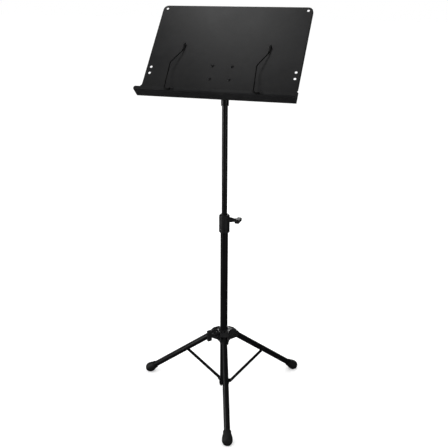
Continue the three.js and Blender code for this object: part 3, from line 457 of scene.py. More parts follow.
class Effects:
    """The node groups that the finishes share, each built once."""

    def __init__(self) -> None:
        """Builds the three groups."""
        self.grain = self._grain()
        self.rubs = self._rubs()
        self.dust = self._dust()

    @staticmethod
    def _group(name: str, inputs: dict[str, str], outputs: dict[str, str]) -> tuple[Any, Any, Any]:
        """Makes an empty group and returns it with its input and output nodes.

        Args:
            name: the group's name.
            inputs: each input's name and socket type.
            outputs: each output's name and socket type.

        Returns:
            The group, its input node and its output node.
        """
        tree = bpy.data.node_groups.new(name, "ShaderNodeTree")
        for label, kind in inputs.items():
            tree.interface.new_socket(name=label, in_out="INPUT", socket_type=kind)
        for label, kind in outputs.items():
            tree.interface.new_socket(name=label, in_out="OUTPUT", socket_type=kind)
        return tree, tree.nodes.new("NodeGroupInput"), tree.nodes.new("NodeGroupOutput")

    def _mask_group(self, name: str) -> tuple[Any, Any, Any]:
        """Makes a group that turns a place and an amount into a mask."""
        inputs = {"Where": "NodeSocketVector", "Amount": "NodeSocketFloat"}
        return self._group(name, inputs, {"Mask": "NodeSocketFloat"})

    def _grain(self) -> bpy.types.NodeTree:
        """Orange peel of a sprayed or moulded skin: fine noise for height, broad noise for tone.

        Returns:
            The group.
        """
        tree, source, sink = self._group(
            "skin_grain",
            {"Where": "NodeSocketVector", "Pitch": "NodeSocketFloat", "Deep": "NodeSocketColor",
             "Light": "NodeSocketColor", "Roughness": "NodeSocketFloat", "Spread": "NodeSocketFloat"},
            {"Colour": "NodeSocketColor", "Roughness": "NodeSocketFloat", "Height": "NodeSocketFloat"})
        where, pitch = source.outputs["Where"], source.outputs["Pitch"]
        coarse = maths(tree, "MULTIPLY", pitch, 0.55)
        cells = add_node(tree, "ShaderNodeTexVoronoi", None, Vector=where, Scale=coarse).outputs["Distance"]
        fleck = maths(tree, "MULTIPLY", spread_over(tree, cells, 0.16, 0.0), 0.45)
        cloud = spread_over(tree, noise(tree, where, 11.0, 4.0, 0.6), 0.3, 0.7)
        tone = maths(tree, "ADD", maths(tree, "MULTIPLY", cloud, 0.55), fleck, True)
        colour = blend_colour(tree, tone, source.outputs["Deep"], source.outputs["Light"])
        tree.links.new(colour, sink.inputs["Colour"])
        swing = maths(tree, "MULTIPLY", maths(tree, "SUBTRACT", cloud, 0.5), source.outputs["Spread"])
        tree.links.new(maths(tree, "ADD", swing, source.outputs["Roughness"]), sink.inputs["Roughness"])
        dimples = maths(tree, "MULTIPLY", cells, 0.4)
        height = maths(tree, "ADD", noise(tree, where, pitch, 2.0), dimples)
        tree.links.new(height, sink.inputs["Height"])
        return tree

    def _rubs(self) -> bpy.types.NodeTree:
        """Rub marks from hands and cases: two stretched noises, kept where a patchy one allows.

        Returns:
            The group.
        """
        tree, source, sink = self._mask_group("rub_marks")
        where = source.outputs["Where"]
        masks = []
        for turn, stretch in (((0.3, 0.2, 0.9), (420.0, 30.0, 90.0)),
                              ((0.8, -0.4, -0.5), (60.0, 380.0, 40.0))):
            laid = add_node(tree, "ShaderNodeMapping", None, Vector=where, Rotation=turn, Scale=stretch)
            masks.append(spread_over(tree, noise(tree, laid.outputs[0], 1.0, 3.0), 0.66, 0.78))
        allowed = spread_over(tree, noise(tree, where, 17.0, 2.0), 0.45, 0.7)
        both = maths(tree, "MULTIPLY", maths(tree, "MAXIMUM", masks[0], masks[1]), allowed)
        tree.links.new(maths(tree, "MULTIPLY", both, source.outputs["Amount"], True), sink.inputs["Mask"])
        return tree

    def _dust(self) -> bpy.types.NodeTree:
        """Fine dust on faces that look up: the normal's rise times a cloudy noise.

        Returns:
            The group.
        """
        tree, source, sink = self._mask_group("fallen_dust")
        facing = add_node(tree, "ShaderNodeNewGeometry")
        parts = add_node(tree, "ShaderNodeSeparateXYZ", None, Vector=facing.outputs["Normal"])
        rise = spread_over(tree, parts.outputs["Z"], 0.35, 1.0)
        cloud = spread_over(tree, noise(tree, source.outputs["Where"], 60.0, 6.0), 0.35, 0.75)
        settled = maths(tree, "MULTIPLY", rise, cloud)
        tree.links.new(maths(tree, "MULTIPLY", settled, source.outputs["Amount"], True), sink.inputs["Mask"])
        return tree


@dataclass(frozen=True)
class Finish:
    """A procedural finish: a grained skin with rub marks and a little dust."""

    name: str
    slot: Slot
    deep: Colour
    light: Colour
    roughness: float
    spread: float = 0.1
    pitch: float = 1400.0
    relief: float = 0.00004
    metallic: float = 0.0
    specular: float = 0.5
    rub_colour: Colour = (0.09, 0.09, 0.092)
    rub_amount: float = 0.25
    dust_amount: float = 0.05

    def material(self, effects: Effects) -> bpy.types.Material:
        """Builds the material.

        Args:
            effects: the shared node groups.

        Returns:
            A material whose colour, roughness and bump vary over Object coordinates.
        """
        made = bpy.data.materials.new(self.name)
        made.use_nodes = True
        tree = made.node_tree
        tree.nodes.clear()
        where = add_node(tree, "ShaderNodeTexCoord").outputs["Object"]
        kind = "ShaderNodeGroup"
        skin = add_node(tree, kind, {"node_tree": effects.grain}, Where=where, Pitch=self.pitch,
                        Deep=(*self.deep, 1.0), Light=(*self.light, 1.0), Roughness=self.roughness,
                        Spread=self.spread)
        rubs = add_node(tree, kind, {"node_tree": effects.rubs}, Where=where, Amount=self.rub_amount)
        dust = add_node(tree, kind, {"node_tree": effects.dust}, Where=where, Amount=self.dust_amount)
        rubbed = blend_colour(tree, rubs.outputs["Mask"], skin.outputs["Colour"], (*self.rub_colour, 1.0))
        dusted = blend_colour(tree, dust.outputs["Mask"], rubbed, (*DUST_COLOUR, 1.0))
        polished = maths(tree, "MULTIPLY", rubs.outputs["Mask"], RUB_POLISH)
        rough = maths(tree, "ADD", skin.outputs["Roughness"], polished, True)
        bump = add_node(tree, "ShaderNodeBump", None, Height=skin.outputs["Height"], Distance=self.relief,
                        Strength=1.0)
        shader = add_node(tree, "ShaderNodeBsdfPrincipled", None, Base_Color=dusted, Roughness=rough,
                          Normal=bump.outputs[0], Metallic=self.metallic, Specular_IOR_Level=self.specular)
        output = tree.nodes.new("ShaderNodeOutputMaterial")
        tree.links.new(shader.outputs[0], output.inputs[0])
        return made


class Look(Enum):
    """The stand's finishes."""

    BOARD = Finish(
        "board_powder_coat", Slot.BOARD_STEEL, (0.0075, 0.0075, 0.0079), (0.0125, 0.0125, 0.013), 0.34,
        spread=0.06, specular=0.3, rub_amount=0.05, dust_amount=0.012)
    STEEL = Finish(
        "frame_powder_coat", Slot.BLACK_STEEL, (0.0025, 0.0025, 0.0027), (0.005, 0.005, 0.0053), 0.34,
        spread=0.08, specular=0.3, rub_colour=(0.03, 0.03, 0.031), rub_amount=0.14, dust_amount=0.01)
    WIRE = Finish(
        "wire_black_enamel", Slot.BLACK_STEEL, (0.002, 0.002, 0.002), (0.004, 0.004, 0.004), 0.5,
        spread=0.08, pitch=2600.0, relief=0.00001, specular=0.1, rub_colour=(0.02, 0.02, 0.02),
        rub_amount=0.15, dust_amount=0.0)
    # The rivets' light grey rub colour is painted glints on the heads, as well as worn metal showing through
    # the black.
    RIVET = Finish(
        "rivet_black_zinc", Slot.BLACK_STEEL, (0.008, 0.008, 0.0085), (0.03, 0.03, 0.031), 0.3,
        spread=0.16, pitch=2200.0, relief=0.00002, metallic=0.6, rub_colour=(0.3, 0.3, 0.3),
        rub_amount=0.4, dust_amount=0.0)
    ZINC = Finish(
        "plated_zinc", Slot.ZINC, (0.3, 0.31, 0.33), (0.52, 0.53, 0.54), 0.32,
        spread=0.2, pitch=900.0, relief=0.00002, metallic=1.0, rub_colour=(0.7, 0.7, 0.7))
    PLASTIC = Finish(
        "moulded_black", Slot.BLACK_PLASTIC, (0.005, 0.005, 0.0053), (0.011, 0.011, 0.0115), 0.44,
        pitch=1100.0, relief=0.00006, specular=0.3, rub_colour=(0.05, 0.05, 0.05), rub_amount=0.2,
        dust_amount=0.02)
    HUB = Finish(
        "hub_moulded_black", Slot.BLACK_PLASTIC, (0.007, 0.007, 0.0074), (0.014, 0.014, 0.0145), 0.26,
        pitch=1100.0, relief=0.00004, specular=0.6, rub_colour=(0.05, 0.05, 0.05), rub_amount=0.2,
        dust_amount=0.01)
    NYLON = Finish(
        "bush_nylon", Slot.NYLON, (0.009, 0.009, 0.0095), (0.016, 0.016, 0.017), 0.5,
        pitch=1500.0, relief=0.00003, specular=0.3, rub_colour=(0.05, 0.05, 0.05), dust_amount=0.01)
    RUBBER = Finish(
        "boot_rubber", Slot.RUBBER, (0.004, 0.004, 0.004), (0.009, 0.009, 0.009), 0.6,
        spread=0.14, pitch=700.0, relief=0.0001, specular=0.25, rub_colour=(0.03, 0.029, 0.028),
        rub_amount=0.6, dust_amount=0.03)


class Paints:
    """Makes each finish's material once, and dresses pieces and CAD nodes with it."""

    def __init__(self) -> None:
        """Builds the shared effects and every finish."""
        effects = Effects()
        self._made = {look: look.value.material(effects) for look in Look}

    def piece(self, made: bpy.types.Object, look: Look, body: str, *nodes: str) -> None:
        """Dresses a new piece and fixes it to the frame.

        Args:
            made: the piece.
            look: its finish.
            body: the CAD body that it rides on.
            *nodes: the CAD nodes that it stands for.
        """
        made.data.materials.clear()
        made.data.materials.append(self._made[look])
        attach(made, body)
        if nodes:
            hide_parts(*nodes)
        LOG.info("piece %s rides on %s, %d faces", made.name, body, len(made.data.polygons))

    def node(self, name: str, look: Look) -> None:
        """Gives a CAD node that stays in sight its finish.

        Args:
            name: the node's name.
            look: its finish.
        """
        held = frame["nodes"][name]
        held.data.materials.clear()
        held.data.materials.append(self._made[look])
        LOG.info("CAD node %s keeps its shape", name)


def joint_point(name: str) -> Points:
    """Where a joint's axis is, in metres."""
    return np.array(JOINTS[name]["pos_m"], float)


def joint_axis(name: str) -> Points:
    """A joint's unit axis."""
    axis = np.array(JOINTS[name]["axis"], float)
    return axis / np.linalg.norm(axis)


def pole_place() -> Place:
    """The frame on the floor under the pole, with the row's axes."""
    x, y, _ = joint_point("desk_swivel")
    return Place(np.array([x, y, 0.0]), np.eye(3))


def heights(node: str) -> tuple[float, float]:
    """A CAD node's lowest and highest point, in millimetres."""
    low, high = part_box(node)
    return low.z / MM, high.z / MM


@dataclass(frozen=True)
class Rivet:
    """A rivet's sizes: its shank, its domed head and its flat tail."""

    shank: float
    head: float
    rise: float
    tail: float
    tail_rise: float

    def profile(self, low: float, high: float) -> Points:
        """The flat tail, the shank from low to high, and a head that is half an ellipse.

        Args:
            low: where the flat tail meets the work.
            high: where the head meets the work.

        Returns:
            The (radius, height) points, from the bottom up.
        """
        angle = np.linspace(0, QUARTER, 9)
        dome = np.stack([self.head * np.cos(angle), high + self.rise * np.sin(angle)], axis=1)
        dome[-1, 0] = 0.0
        tail, bottom, soft = self.tail, low - self.tail_rise, 0.4
        foot = [[0, bottom], [tail - soft, bottom], [tail, bottom + soft], [tail, low],
                [self.shank, low], [self.shank, high]]
        return np.vstack([foot, dome])


# ---- Desk ----
@dataclass
class Desk:
    """The board and tray, bent from one sheet, with its bracket and rivets.

    The board's frame has x to the side, y up the board from the tray's underside, and z out of
    its face.
    """

    place: Place
    sheet: float = 1.2
    width: float = 480.0
    height: float = 338.0
    corner: float = 16.0
    hem_depth: float = 7.0
    hem_start: float = 46.0
    hem_bend: float = 1.6
    hem_run: float = 1.5
    rim: float = 0.3
    tray_width: float = 488.0
    tray_depth: float = 38.0
    tray_bend: float = 3.0
    lip_height: float = 10.0
    lip_corner: float = 6.0
    shoulder: float = 36.0
    hole_radius: float = 4.0
    hole_inset: float = 14.5
    hole_drops: tuple[float, ...] = (13.0, 233.0, 255.0)
    hole_cell: float = 6.0
    rivet_x: float = 61.0
    rivet_y: float = 46.5
    rivet_up: float = 93.2
    rivet: Rivet = Rivet(2.2, 5.0, 2.6, 4.0, 1.8)
    bracket_width: float = 82.0
    bracket_height: float = 68.0
    bracket_sheet: float = 2.0
    hinge_behind: float = 42.0
    hinge_up: float = 112.0
    ear_near: float = 7.8
    ear_radius: float = 12.0
    ear_below: float = 26.0
    ear_above: float = 14.0
    ear_root: float = 5.0

    @property
    def inner_bend(self) -> float:
        """The inner radius of the tray's bends."""
        return self.tray_bend - self.sheet

    @property
    def marks(self) -> tuple[float, float, float, float, float]:
        """Distances down the flat sheet: both ends of each bend, and the lip's edge.

        Returns:
            The five distances, from the top edge down.
        """
        bend = QUARTER * self.inner_bend
        first = self.height - self.tray_bend
        second = first + bend
        third = second + self.tray_depth - self.tray_bend - self.inner_bend
        fourth = third + bend
        return first, second, third, fourth, fourth + self.lip_height - self.tray_bend

    def folded(self, flat: Points) -> Points:
        """Folds the flat sheet into board, tray and lip.

        A point is (x, s, h): side, distance down the front face from the top edge, and depth
        behind that face. The turn t grows from 0 to a half turn over the two bends, the front's
        normal is n = (sin t, cos t), and the point goes to C(s) - (bend radius + h) n, where C
        runs straight down, then out over the tray, then up the lip.

        Args:
            flat: any array of such points.

        Returns:
            The same points in the board's frame.
        """
        x, s, h = flat[..., 0], flat[..., 1], flat[..., 2]
        first, second, third, fourth, _ = self.marks
        bend = second - first
        turn = QUARTER * (np.clip((s - first) / bend, 0, 1) + np.clip((s - third) / bend, 0, 1))
        up = self.tray_bend + np.maximum(first - s, 0) + np.maximum(s - fourth, 0)
        out = self.inner_bend + np.clip(s - second, 0, third - second)
        reach = self.inner_bend + h
        return np.stack([x, up - reach * np.sin(turn), out - reach * np.cos(turn)], axis=-1)

    def _hem_share(self, s: Points) -> Points:
        """1 where the edge is folded back, 0 where it is plain, with a smooth step between."""
        t = np.clip((s - (self.height - self.hem_start - self.hem_run)) / (2 * self.hem_run), 0, 1)
        return 1 - t * t * (3 - 2 * t)

    def _inset(self, s: Points) -> Points:
        """How far inside the outline the flat faces end."""
        return self.rim + (self.hem_bend - self.rim) * self._hem_share(s)

    def _edge(self, s: Points) -> tuple[Points, Points]:
        """The right-hand end of the flat faces at distance s, and the outline's normal there.

        Args:
            s: distances down the sheet.

        Returns:
            How far out each row's flat face ends, and the outline's normal there.
        """
        inset = self._inset(s)
        end = self.marks[-1]
        half, wide = self.width / 2, self.tray_width / 2
        shoulder_end = self.height - self.shoulder
        side = np.interp(s, [shoulder_end - (wide - half), shoulder_end], [half, wide]) - inset
        normal = np.stack([np.ones_like(s), np.zeros_like(s)], axis=-1)
        for start, sign, radius, reach in ((0.0, -1, self.corner, half), (end, 1, self.lip_corner, wide)):
            centre = start - sign * radius
            past = sign * (s - centre)
            inside = past > 0
            tight = radius - inset
            across = np.sqrt(np.maximum(tight**2 - past**2, 0))
            side = np.where(inside, reach - radius + across, side)
            bow = np.stack([across / tight, sign * past / tight], axis=-1)
            normal = np.where(inside[:, None], bow, normal)
        return side, normal

    def _rows(self) -> Points:
        """The distances down the sheet that carry a row of points.

        Returns:
            The distances, in rising order.
        """
        first, second, third, fourth, end = self.marks
        top = self.corner - (self.corner - self.hem_bend) * np.cos(np.linspace(0, QUARTER, 12))
        low = end - self.lip_corner + (self.lip_corner - self.rim) * np.sin(np.linspace(0, QUARTER, 8))
        cells = [drop + way * self.hole_cell for drop in self.hole_drops for way in (-1, 1)]
        fold = self.height - self.hem_start + self.hem_run * np.linspace(-1, 1, 9)
        slope = self.height - self.shoulder - np.array([4.6, 4.0, 0.0, -0.6])
        plain = np.concatenate([np.linspace(30, 215, 8), [275.0, 318.0, 0.5 * (second + third)]])
        bends = np.concatenate([np.linspace(first, second, 8), np.linspace(third, fourth, 8)])
        rows = np.unique(np.round(np.concatenate([top, low, cells, fold, slope, plain, bends]), 6))
        return rows[np.concatenate([[True], np.diff(rows) > 0.02])]

    def _rim_profile(self) -> tuple[Points, Points]:
        """The edge's section as (beyond the outline, depth), folded back and plain.

        Returns:
            The folded section and the plain one, with the same number of points.
        """
        bend, rim, thick = self.hem_bend, self.rim, self.sheet
        end = thick + self.hem_depth
        quarter = np.linspace(0, QUARTER, 6)
        three = quarter[[0, 2, 5]]
        outer = np.stack([-bend + bend * np.sin(quarter), bend - bend * np.cos(quarter)], axis=1)
        tip = np.stack([-rim + rim * np.cos(three), end - rim + rim * np.sin(three)], axis=1)
        turn = np.stack([rim - thick - rim * np.sin(three), end - rim + rim * np.cos(three)], axis=1)
        inner = bend - thick
        four = np.linspace(0, QUARTER, 4)
        root = np.stack([-bend + inner * np.cos(four), bend - inner * np.sin(four)], axis=1)
        folded = np.vstack([outer, tip, turn, root])
        front = np.stack([-rim + rim * np.sin(quarter), rim - rim * np.cos(quarter)], axis=1)
        back = np.stack([-rim + rim * np.cos(quarter), thick - rim + rim * np.sin(quarter)], axis=1)
        plain = np.vstack([front, back, np.repeat(back[-1:], 4, axis=0)])
        return folded, plain

    def sheet_shells(self) -> Shells:
        """Works out the sheet: two faces on one grid, the rim round them, and the edge holes.

        Rows run down the sheet and columns across it. Columns keep their distance from the
        middle but for the top rows, where they close in with the rounded corners.

        Returns:
            The closed shell, in the board's frame.
        """
        s = self._rows()
        side, normal = self._edge(s)
        centre = self.width / 2 - self.hole_inset
        near, far = centre - self.hole_cell, centre + self.hole_cell
        middle = np.concatenate([[-far, -near], np.linspace(-190, 190, 11), [near, far]])
        close_in = np.minimum(1.0, side / (far + 3.7))
        x = np.concatenate([-side[:, None], middle[None] * close_in[:, None], side[:, None]], axis=1)
        flat = np.stack([x, np.broadcast_to(s[:, None], x.shape)], axis=-1)
        skip = np.zeros((len(s) - 1, x.shape[1] - 1), bool)
        spans = [[int(np.argmin(abs(s - (drop + way * self.hole_cell)))) for way in (-1, 1)]
                 for drop in self.hole_drops]
        cells = [(first, last, column) for first, last in spans for column in (1, x.shape[1] - 3)]
        for first, last, column in cells:
            skip[first:last, column] = True
        shells = Shells()
        for depth in (0.0, self.sheet):
            level = np.concatenate([flat, np.full((*x.shape, 1), depth)], axis=-1)
            shells.grid(self.folded(level), skip=skip)
        for first, last, column in cells:
            self._hole(shells, flat[first:last + 1, column:column + 2])
        self._rim(shells, flat, normal)
        return shells

    def _hole(self, shells: Shells, cell: Points) -> None:
        """Adds a round hole in a cell: four faces on each side, and the softened wall.

        Args:
            shells: what it is added to.
            cell: the sheet's points round the hole, rows by two columns.
        """
        middle = np.array([cell[0], cell[-1]]).mean(axis=(0, 1))
        sides = (cell[-1, ::-1], cell[::-1, 0], cell[0], cell[:, 1])
        soft = 0.25
        for quadrant, side in enumerate(sides):
            ring = arc(middle, self.hole_radius + soft, 45 + 90 * quadrant, 135 + 90 * quadrant, 9)
            face = np.vstack([side, ring[::-1]])
            for depth in (0.0, self.sheet):
                shells.polygon(self.folded(np.column_stack([face, np.full(len(face), depth)])))
        reach = self.hole_radius + soft * (1 - np.sin(np.linspace(0, QUARTER, 4)))
        drop = soft * (1 - np.cos(np.linspace(0, QUARTER, 4)))
        radius = np.concatenate([reach, reach[::-1]])
        depth = np.concatenate([drop, self.sheet - drop[::-1]])
        angle = np.radians(45) + np.linspace(0, 2 * math.pi, 32, endpoint=False)
        across = middle[0] + radius[:, None] * np.cos(angle)
        down = middle[1] + radius[:, None] * np.sin(angle)
        wall = np.stack([across, down, np.broadcast_to(depth[:, None], across.shape)], axis=-1)
        shells.grid(self.folded(wall), around=True)

    def _rim(self, shells: Shells, flat: Points, normal: Points) -> None:
        """Adds the edge: its section carried round the outline, folded back where the hem is.

        Args:
            shells: the sheet's surfaces.
            flat: the grid of the flat face.
            normal: the outline's normal at each row.
        """
        mirror = normal * [-1, 1]
        count = flat.shape[1] - 2
        down = np.repeat([[0.0, 1.0]], count, axis=0)
        loop = np.vstack([flat[:, -1], flat[-1, -2:0:-1], flat[::-1, 0], flat[0, 1:-1]])
        ways = np.vstack([normal, down, mirror[::-1], -down])
        share = self._hem_share(loop[:, 1])[:, None]
        inset = self._inset(loop[:, 1])[:, None]
        folded, plain = self._rim_profile()
        beyond = inset + share * folded[None, :, 0] + (1 - share) * plain[None, :, 0]
        depth = share * folded[None, :, 1] + (1 - share) * plain[None, :, 1]
        rim = np.concatenate([loop[:, None] + beyond[..., None] * ways[:, None], depth[..., None]], axis=-1)
        shells.grid(self.folded(rim), closed=True)

    def rivets(self) -> Shells:
        """The four domed rivets that hold the bracket.

        Returns:
            The rivets' surfaces.
        """
        shells = Shells()
        low = -self.sheet - self.bracket_sheet - 0.6
        for x in (-self.rivet_x / 2, self.rivet_x / 2):
            for y in (self.rivet_up - self.rivet_y / 2, self.rivet_up + self.rivet_y / 2):
                here = Place(np.array([x, y, 0.0]), np.eye(3))
                shells.lathe(self.rivet.profile(low, 0.1), SMALL_ROUND, 0.15, axis=here)
        return shells

    def bracket(self) -> Shells:
        """The bracket: a plate under the board and two ears round the tilt hinge.

        Returns:
            The bracket's surfaces.
        """
        shells = Shells()
        top = -self.sheet - GAP
        half = self.bracket_width / 2
        low, high = self.rivet_up - self.bracket_height / 2, self.rivet_up + self.bracket_height / 2
        corners = np.array([[-half, low], [half, low], [half, high], [-half, high]])
        shells.prism(soft_corners(corners, 8.0, 7), top - self.bracket_sheet, top, 0.35)
        root, hinge = top - self.bracket_sheet / 2, np.array([self.hinge_up, -self.hinge_behind])
        nose = arc(hinge, self.ear_radius, 180, 360, 21)
        below, above = self.hinge_up - self.ear_below, self.hinge_up + self.ear_above
        foot = root - self.ear_root
        start = np.array([[below, root], [below + 4.0, foot]])
        end = np.array([[above - 1.4, foot], [above, root]])
        outline = np.vstack([start, nose, end])
        for near in (self.ear_near, -self.ear_near - self.bracket_sheet):
            shells.prism(outline, near, near + self.bracket_sheet, 0.35, order=(2, 0, 1))
        return shells

    def build(self, paints: Paints) -> None:
        """Makes and dresses the desk's own pieces.

        Args:
            paints: the finishes.
        """
        paints.piece(self.sheet_shells().mesh("desk_sheet", self.place), Look.BOARD, "desk", "desk_plate")
        nodes = [f"desk_rivet_{number}" for number in (1, 2, 3, 4)]
        paints.piece(self.rivets().mesh("desk_rivet_heads", self.place), Look.RIVET, "desk", *nodes)
        paints.piece(self.bracket().mesh("desk_bracket", self.place), Look.STEEL, "desk", "back_bracket")


@dataclass
class PageHolder:
    """A bent wire with a sleeved tip, which swings in a clip on the tray's lip."""

    desk: Place
    name: str
    centre: float
    radius: float = 1.6
    axis_out: float = 41.5
    axis_up: float = 4.0
    pin: float = 10.0
    clip_start: float = -4.0
    clip_end: float = 18.0
    barrel: float = 10.0
    sheet: float = 1.2
    face: float = 38.3
    clip_height: float = 8.6
    kink: tuple[float, float] = (-14.5, 112.0)
    join: tuple[float, float] = (9.0, 164.0)
    end: tuple[float, float] = (10.0, 190.0)
    tip_radius: float = 4.0
    tip_neck: float = 2.6
    tip_bulb: float = 9.0
    tip_below: float = 22.0
    tip_above: float = 3.0
    rivet_side: float = 13.0
    rivet_up: float = 6.0
    rivet_size: Rivet = Rivet(1.5, 2.6, 1.5, 2.6, 1.2)

    @property
    def place(self) -> Place:
        """The board's frame, moved to the clip's centre."""
        return self.desk.at(x=self.centre)

    def corners(self) -> Points:
        """The wire's corners: along the pin, up to the kink, the join and the tip.

        Returns:
            The corners, in order.
        """
        rest = self.tip_radius + 1.3
        slope = (self.kink[1] - self.axis_up) / (self.join[1] - self.axis_up)
        kink_out = self.axis_out + (rest - self.axis_out) * slope
        return np.array([
            [self.clip_start + self.barrel + 2, self.axis_up, self.axis_out],
            [-self.pin, self.axis_up, self.axis_out],
            [self.kink[0] - self.pin, self.kink[1], kink_out],
            [self.join[0] - self.pin, self.join[1], rest],
            [self.end[0] - self.pin, self.end[1], self.tip_radius + GAP],
        ])

    def wire(self) -> Shells:
        """The wire: a round bar along straight stretches with parabolic corners.

        Returns:
            The wire's surfaces.
        """
        shells = Shells()
        path = soft_corners(self.corners(), np.array([0, 5.0, 7.0, 7.0, 0]), 13, closed=False)
        shells.sweep(path, self.radius, 24, (0.0, 0.0, 1.0))
        return shells

    def tip(self) -> Shells:
        """The sleeve on the wire's end: a tapered tube with a domed top and two rings.

        Returns:
            The tip's surfaces.
        """
        shells = Shells()
        low, high, r, bore = -self.tip_below, self.tip_above, self.tip_radius, self.radius + SLACK
        points, neck = self.corners(), self.tip_neck
        mouth = [(bore, low), (neck - 0.2, low), (neck, low + 0.6)]
        ring = [(neck, low + 2), (neck - 0.3, low + 2.5), (neck, low + 3)]
        bulb = [(neck, -self.tip_bulb), (r, -self.tip_bulb / 2), (r, high - 2.6),
                (r * 0.8, high - 0.7), (r * 0.4, high), (0, high)]
        profile = [*mouth, *ring, *bulb, (0, GAP), (bore, GAP)]
        shells.rod_along(points[-1], 2 * points[-1] - points[-2], profile, SMALL_ROUND, 0.4)
        return shells

    def clip(self) -> Shells:
        """The clip: a rolled barrel on the wire's pin and a tab with its rivet.

        Returns:
            The clip's surfaces.
        """
        shells = Shells()
        bore, outer = self.radius + SLACK, self.radius + 1.6
        start = np.array([self.clip_start, self.axis_up, self.axis_out])
        section = [(bore, 0), (outer, 0), (outer, self.barrel), (bore, self.barrel)]
        shells.rod_along(start, start + [1, 0, 0], section, SMALL_ROUND, 0.35)
        tab = np.array([[self.clip_start, GAP], [self.clip_end, GAP], [self.clip_end, self.clip_height],
                        [self.clip_start, self.clip_height]])
        outline = soft_corners(tab, np.array([0.4, 2.5, 2.5, 0.4]), 6)
        shells.prism(outline, self.face, self.face + self.sheet, 0.25)
        return shells

    def rivet(self) -> Shells:
        """The clip's rivet, through the lip.

        Returns:
            The rivet's surfaces.
        """
        shells = Shells()
        here = Place(np.array([self.rivet_side, self.rivet_up, 0.0]), np.eye(3))
        profile = self.rivet_size.profile(self.face - 1.8, self.face + self.sheet)
        shells.lathe(profile, SMALL_ROUND, 0.15, axis=here)
        return shells

    def build(self, paints: Paints) -> None:
        """Makes and dresses the holder's pieces.

        Args:
            paints: the finishes.
        """
        body, name, place = f"page_holder_{self.name}", self.name, self.place
        paints.piece(self.wire().mesh(f"bent_wire_{name}", place), Look.WIRE, body, f"page_wire_{name}")
        paints.piece(self.tip().mesh(f"tip_sleeve_{name}", place), Look.PLASTIC, body, f"wire_tip_{name}")
        paints.piece(self.clip().mesh(f"lip_clip_{name}", place), Look.STEEL, "desk", f"wire_clip_{name}")
        paints.piece(self.rivet().mesh(f"lip_clip_rivet_{name}", place), Look.RIVET, "desk",
                     f"clip_rivet_{name}")


# ---- Knobs ----
@dataclass
class TeeKnob:
    """A moulded T knob on a screw; the third axis points away from the piece that it clamps."""

    place: Place
    stem_radius: float = 7.0
    stem: float = 12.0
    length: float = 40.0
    width: float = 14.0
    height: float = 14.0
    bore: float = 3.3

    def shells(self) -> Shells:
        """The stem flares into a bar whose sides pull in and whose ends swell a little.

        The bar's half width at distance x from its middle is w (0.86 + 0.14 (2x/l)^2) times the
        half-round of its ends.

        Returns:
            The knob's surfaces.
        """
        shells = Shells()
        r = self.stem_radius
        shells.lathe([(self.bore, 0), (r - 0.6, 0), (r, 0.8), (r - 0.8, 4), (r - 0.8, 8), (r, self.stem + 1),
                      (self.bore, self.stem + 1)], SMALL_ROUND, 0.8)
        bar = stadium(self.length, self.width, 19)
        straight = np.linspace(-1, 1, 15)[1:-1] * (self.length - self.width) / 2
        half = len(bar) // 2
        top = np.column_stack([straight[::-1], np.full(len(straight), self.width / 2)])
        outline = np.vstack([bar[:half], top, bar[half:], -top])
        outline[:, 1] *= 0.86 + 0.14 * (2 * outline[:, 0] / self.length) ** 2
        shells.prism(outline, self.stem, self.stem + self.height, 2.2)
        boss_top = self.stem + self.height + 0.1
        shells.lathe([(0, boss_top - 1.5), (4.4, boss_top - 1.5), (4.4, boss_top), (3.2, boss_top),
                      (2.9, boss_top - 0.9), (0, boss_top - 0.9)], SMALL_ROUND, 0.25)
        return shells

    def build(self, paints: Paints, name: str, node: str) -> None:
        """Makes and dresses the knob, which rides on the body named after its node."""
        paints.piece(self.shells().mesh(name, self.place), Look.PLASTIC, f"{node}_set", node)


